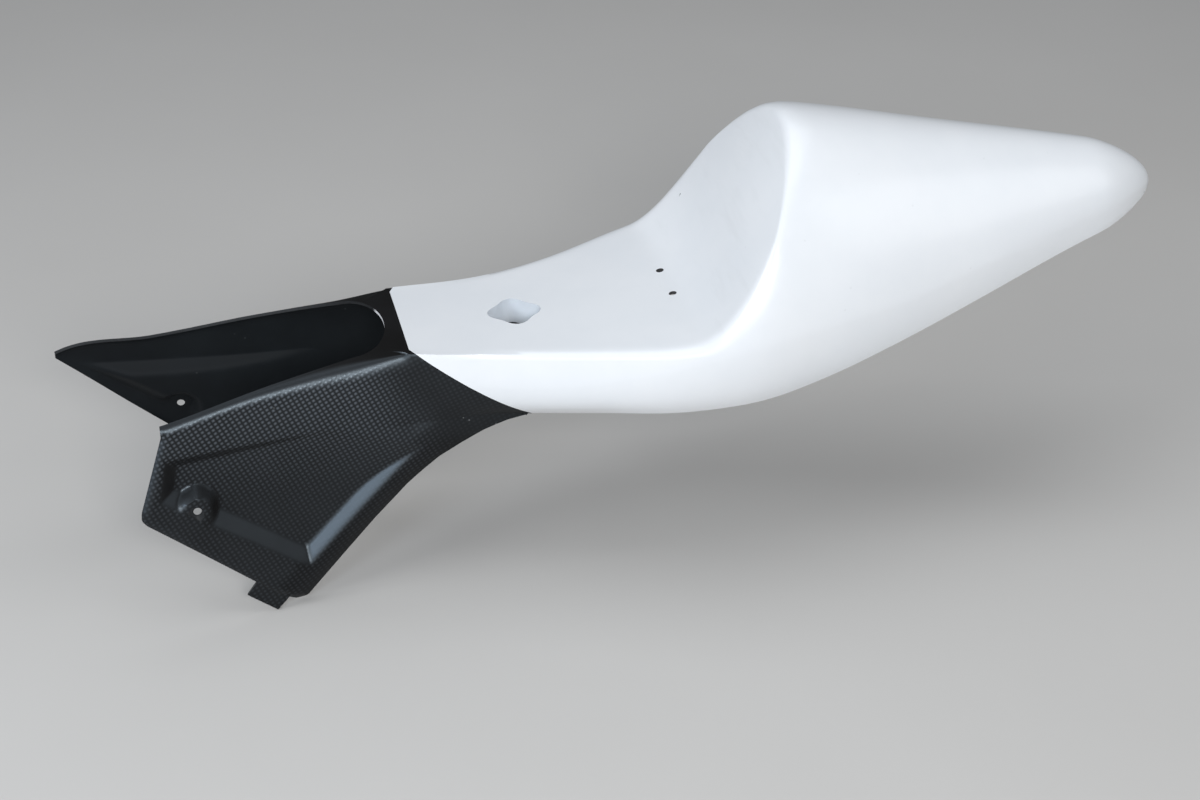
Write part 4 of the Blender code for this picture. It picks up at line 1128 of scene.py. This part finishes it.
def weave_group():
    """Rows of raised tow crossings, and a mask of the faces that look to the side and show them."""
    tree, n, given, made = new_group(
        "weave",
        [("Pitch", WEAVE_PITCH * MM), ("Cross Pitch", WEAVE_CROSS_PITCH * MM), ("Turn", WEAVE_TURN)],
        [("Crossings", "NodeSocketFloat"), ("Side", "NodeSocketFloat")],
    )
    place = n.place()
    waver = n.add("ShaderNodeTexNoise")
    n.set(waver, Vector=place, Scale=WAVER_SCALE, Detail=1.0)
    shift = n.add("ShaderNodeVectorMath", operation="MULTIPLY_ADD")
    n.set(shift, i0=waver.outputs["Color"], i1=WAVER, i2=place)
    turned = n.add("ShaderNodeVectorRotate", rotation_type="X_AXIS")
    n.set(turned, Vector=shift.outputs[0])
    n.tree.links.new(given.outputs["Turn"], turned.inputs["Angle"])
    split = n.parts(turned.outputs[0])
    waves = []
    for axis, pitch in (("Y", "Pitch"), ("Z", "Cross Pitch")):
        share = n.math("DIVIDE", split[axis], given.outputs[pitch])
        wave = n.math("COSINE", n.math("MULTIPLY", share, 2 * np.pi))
        waves.append(n.math("MULTIPLY_ADD", wave, 0.5, 0.5))
    crossing = n.math("MULTIPLY", *waves)
    side = n.ramp(n.math("ABSOLUTE", n.facing()["X"]), *WING_FACING)
    n.set(made, Crossings=crossing, Side=side)
    return tree


def shine_of_slopes(n):
    """Shine: most on slanted faces, less on upright ones and toward the rear, least on level ones."""
    look = n.facing()
    lean = n.ramp(look["Z"], *LEANING_FACING, 0.35, 1.0)
    rear = n.ramp(look["Y"], *REAR_FACING, 1.0, 0.40)
    level_face = n.ramp(look["Z"], *LEVEL_FACING, 1.0, 0.0)
    slope = n.math("MULTIPLY", n.math("MULTIPLY", lean, rear), level_face)
    return n.math("MULTIPLY_ADD", slope, SHINE_RANGE, SHINE_LEAST)


def new_material(name):
    """A material, the short calls for its nodes, and its shader."""
    material = bpy.data.materials.new(name)
    material.use_nodes = True
    nodes = Nodes(material.node_tree)
    shader = material.node_tree.nodes["Principled BSDF"]
    return material, nodes, shader


def grouped(nodes, tree):
    """One use of a node group."""
    node = nodes.add("ShaderNodeGroup")
    node.node_tree = tree
    return node


def gel_coat(wear, name, tone):
    """White gel coat: cloudy by a hair, with dust specks, faint wiping streaks on the backstop, two chips
    and a painted shade of warmer grey on faces that look down, all multiplied by a tone, which paints shade
    on the collar's wall."""
    material, n, shader = new_material(name)
    spots = grouped(n, wear)
    n.set(spots, Cloud_Size=9.0, Speck_Size=160.0)
    place = n.place()
    stretched = n.add("ShaderNodeMapping")
    n.set(stretched, Vector=place, Rotation=(0.0, 0.5, 0.7), Scale=(6.0, 60.0, 6.0))
    streaks = n.noise(stretched.outputs[0], scale=1.6, roughness=0.6)
    look = n.facing()
    backstop = n.ramp(look["Y"], *BACKSTOP_FACING, 1.0, 0.0)
    wiped = n.math("MULTIPLY", n.ramp(streaks, 0.50, 0.72), backstop)
    base = n.mix(n.ramp(spots.outputs["Cloud"], -0.2, 0.2), GEL_DARKER, GEL_LIGHTER)
    base = n.mix(wiped, base, GEL_WIPED, most=0.30)
    base = n.mix(spots.outputs["Specks"], base, GEL_DUST, most=0.12)
    base = n.mix(marks(n, place, SHELL_MARKS), base, GEL_CHIP, most=0.8)
    # Painted shade: faces that look down turn a warmer, darker grey
    base = n.mix(n.ramp(look["Z"], *PAINTED_UNDER_SHADE_FACING, 0.50, 0.0), base, GEL_PAINTED_UNDER_SHADE)
    toned = n.add("ShaderNodeMix", data_type="RGBA", blend_type="MULTIPLY")
    base = n.set(toned, i0=1.0, i6=base, i7=tone).outputs[2]
    rough = n.math("MULTIPLY_ADD", wiped, 0.12, 0.32)
    bump = n.add("ShaderNodeBump")
    n.set(bump, Strength=0.04, Distance=0.002, Height=spots.outputs["Cloud"])
    n.set(shader, Base_Color=base, Roughness=rough, Normal=bump.outputs[0])
    n.set(shader, Coat_Weight=0.25, Coat_Roughness=0.12)
    return material


def raw_laminate(wear):
    """The inside of the shell: dark resin over chopped strand mat, with the strands a little paler.
    Its darkness is partly painted shade, for the shadow seen through the seat opening.
    """
    material, n, shader = new_material("raw laminate with painted shade")
    spots = grouped(n, wear)
    n.set(spots, Cloud_Size=30.0, Speck_Size=500.0)
    place = n.place()
    strands = n.add("ShaderNodeTexVoronoi", feature="DISTANCE_TO_EDGE")
    n.set(strands, Vector=place, Scale=160.0)
    lines = n.ramp(strands.outputs["Distance"], 0.0, 0.12, 1.0, 0.0)
    base = n.mix(n.ramp(spots.outputs["Cloud"], -0.25, 0.25), MAT_DARKER, MAT_LIGHTER)
    base = n.mix(lines, base, MAT_STRAND, most=0.45)
    bump = n.add("ShaderNodeBump")
    n.set(bump, Strength=0.25, Distance=0.0004, Height=lines)
    n.set(shader, Base_Color=base, Roughness=0.5, Normal=bump.outputs[0])
    return material


def shell_edge():
    """The trimmed edge of the shell, sanded and a little paler than the inside."""
    material, n, shader = new_material("dark edge")
    grit = n.noise(n.place(), scale=GRIT_SCALE, detail=2.0)
    n.set(shader, Base_Color=n.mix(grit, EDGE_DARKER, EDGE_LIGHTER), Roughness=0.5)
    return material


def black_edge():
    """The trimmed edge of the black laminate, left pale and sanded at the rear of the notch, with a painted
    highlight where it faces ahead.
    """
    material, n, shader = new_material("black edge")
    place = n.place()
    split = n.parts(place)
    rear = n.math("GREATER_THAN", split["Y"], (NOTCH_REAR_Y - PALE_HIGHLIT_EDGE_LENGTH) * MM)
    middle = n.ramp(n.math("ABSOLUTE", split["X"]), *PALE_HIGHLIT_EDGE_SIDE, 1.0, 0.0)
    rear = n.math("MULTIPLY", rear, middle)
    # Painted highlight: the pale edge shows only on faces that look ahead
    ahead = n.ramp(n.facing()["Y"], *AHEAD_HIGHLIGHT_FACING, 1.0, 0.0)
    base = n.mix(n.noise(place, scale=GRIT_SCALE, detail=2.0), TRIMMED_DARKER, TRIMMED_LIGHTER)
    base = n.mix(n.math("MULTIPLY", rear, ahead), base, TRIMMED_PALE_AND_HIGHLIGHT)
    n.set(shader, Base_Color=base, Roughness=0.42, Specular_IOR_Level=0.12)
    return material


def weave_laminate(wear, weave):
    """Black laminate whose cloth shows through as rows of grey dots on the sides of the wings.
    The dots' blue-grey brightness is partly painted sheen, and their dimming toward the foot is painted
    shade.
    """
    material, n, shader = new_material("woven black laminate")
    spots, cloth = grouped(n, wear), grouped(n, weave)
    n.set(spots, Cloud_Size=14.0, Speck_Size=240.0)
    place = n.place()
    split = n.parts(place)
    from_joint = n.math("ADD", split["Y"], n.math("MULTIPLY", split["Z"], WEAVE_FADE_LEAN))
    ahead = n.ramp(from_joint, *WEAVE_FADE, 1.0, 0.15)
    # Painted shade: the dots dim toward the foot of the wing
    height = n.ramp(split["Z"], *WEAVE_SHADE_HEIGHT, 0.17, 1.0)
    shown = n.math("MULTIPLY", n.math("MULTIPLY", cloth.outputs["Side"], ahead), height)
    dots = n.math("MULTIPLY", cloth.outputs["Crossings"], shown)
    base = n.mix(n.ramp(spots.outputs["Cloud"], -0.25, 0.25), RESIN_DARKER, RESIN_LIGHTER)
    # Cloth dots: real weave, brightened as painted sheen
    base = n.mix(dots, base, CLOTH_DOT_AND_SHEEN, most=0.8)
    base = n.mix(spots.outputs["Specks"], base, RESIN_DUST, most=0.15)
    base = n.mix(marks(n, place, WING_MARKS), base, RESIN_SCUFF, most=0.25)
    bump = n.add("ShaderNodeBump")
    n.set(bump, Strength=0.2, Distance=0.0006, Height=dots)
    rough = n.ramp(dots, 0.0, 1.0, 0.36, 0.30)
    n.set(shader, Base_Color=base, Roughness=rough, Normal=bump.outputs[0])
    # The blue tint on the highlights is a painted reflection of sky
    n.set(shader, Specular_IOR_Level=shine_of_slopes(n), Specular_Tint=SKY_BLUE_HIGHLIGHT_TINT)
    return material


def smooth_laminate(wear):
    """Flat resin face of the same laminate: blue-black and rougher, with a few scuffs."""
    material, n, shader = new_material("smooth black laminate")
    spots = grouped(n, wear)
    n.set(spots, Cloud_Size=10.0, Speck_Size=200.0)
    base = n.mix(n.ramp(spots.outputs["Cloud"], -0.25, 0.25), INNER_DARKER, INNER_LIGHTER)
    base = n.mix(spots.outputs["Specks"], base, INNER_DUST, most=0.1)
    base = n.mix(marks(n, n.place(), INNER_MARKS), base, INNER_SCUFF, most=0.10)
    rough = n.ramp(spots.outputs["Cloud"], -0.3, 0.3, 0.50, 0.62)
    bump = n.add("ShaderNodeBump")
    n.set(bump, Strength=0.15, Distance=0.002, Height=spots.outputs["Cloud"])
    n.set(shader, Base_Color=base, Roughness=rough, Specular_IOR_Level=0.10, Normal=bump.outputs[0])
    return material


def add_floor(z):
    """A pale level floor with a faint mottle."""
    corners = [(-1, -1), (1, -1), (1, 1), (-1, 1)]
    points = np.array([(FLOOR_REACH * x, FLOOR_REACH * y, z) for x, y in corners]) / MM
    obj = mesh_object("floor", points, [[0, 1, 2, 3]])[0]
    material, n, shader = new_material("pale floor")
    mottle = n.noise(n.place(), scale=3.0, detail=4.0)
    n.set(shader, Base_Color=n.mix(mottle, FLOOR_DARKER, FLOOR_LIGHTER), Roughness=0.9)
    dress(obj, [material])


def add_lamp(name, place, target, size, power, colour):
    """A rectangular lamp at a place, aimed at a target."""
    data = bpy.data.lights.new(name, "AREA")
    data.shape = "RECTANGLE"
    data.size, data.size_y = size
    data.energy = power
    data.color = colour
    obj = bpy.data.objects.new(name, data)
    obj.location = place
    obj.rotation_euler = (Vector(target) - Vector(place)).to_track_quat("-Z", "Y").to_euler()
    bpy.context.scene.collection.objects.link(obj)


def add_room_light():
    """Even light from all round."""
    world = bpy.data.worlds.new("world")
    bpy.context.scene.world = world
    world.use_nodes = True
    world.node_tree.nodes["Background"].inputs["Color"].default_value = ROOM_COLOUR
    world.node_tree.nodes["Background"].inputs["Strength"].default_value = ROOM_STRENGTH


def add_camera():
    """A view from the left, a little ahead of the side, 30 degrees above."""
    data = bpy.data.cameras.new("camera")
    data.sensor_width = CAMERA_SENSOR
    data.lens = CAMERA_LENS
    obj = bpy.data.objects.new("camera", data)
    ahead = Vector(CAMERA_AHEAD).normalized()
    right = Vector(CAMERA_RIGHT).normalized()
    up = right.cross(ahead)
    turn = Matrix((right, up, -ahead)).transposed()
    obj.matrix_world = Matrix.Translation(CAMERA_PLACE) @ turn.to_4x4()
    bpy.context.scene.collection.objects.link(obj)
    bpy.context.scene.camera = obj


add_camera()
wear = surface_wear_group()
weave = weave_group()
dark_edge = shell_edge()
gel = gel_coat(wear, "white gel coat", PLAIN_TONE)
# Painted shade: a darker copy of the gel coat for the collar's wall
shaded_collar_gel = gel_coat(wear, "white gel coat in the collar", COLLAR_SHADE_TONE)
shell = finished(shell_skin([gel, raw_laminate(wear), dark_edge, shaded_collar_gel]))
yoke = finished(yoke_skin([weave_laminate(wear, weave), smooth_laminate(wear), black_edge()]))
skins = [(shell, "seat_shell", "white_gel_coat"), (yoke, "front_yoke", "black_laminate")]
for piece, node, slot in skins:
    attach(piece, "root")
    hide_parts(node)
remove_cutters()
add_floor(float(CAD_BOX[0][2]) - FLOOR_DROP)
for lamp in LAMPS:
    add_lamp(*lamp)
add_room_light()
bpy.context.scene.view_settings.view_transform = "Standard"
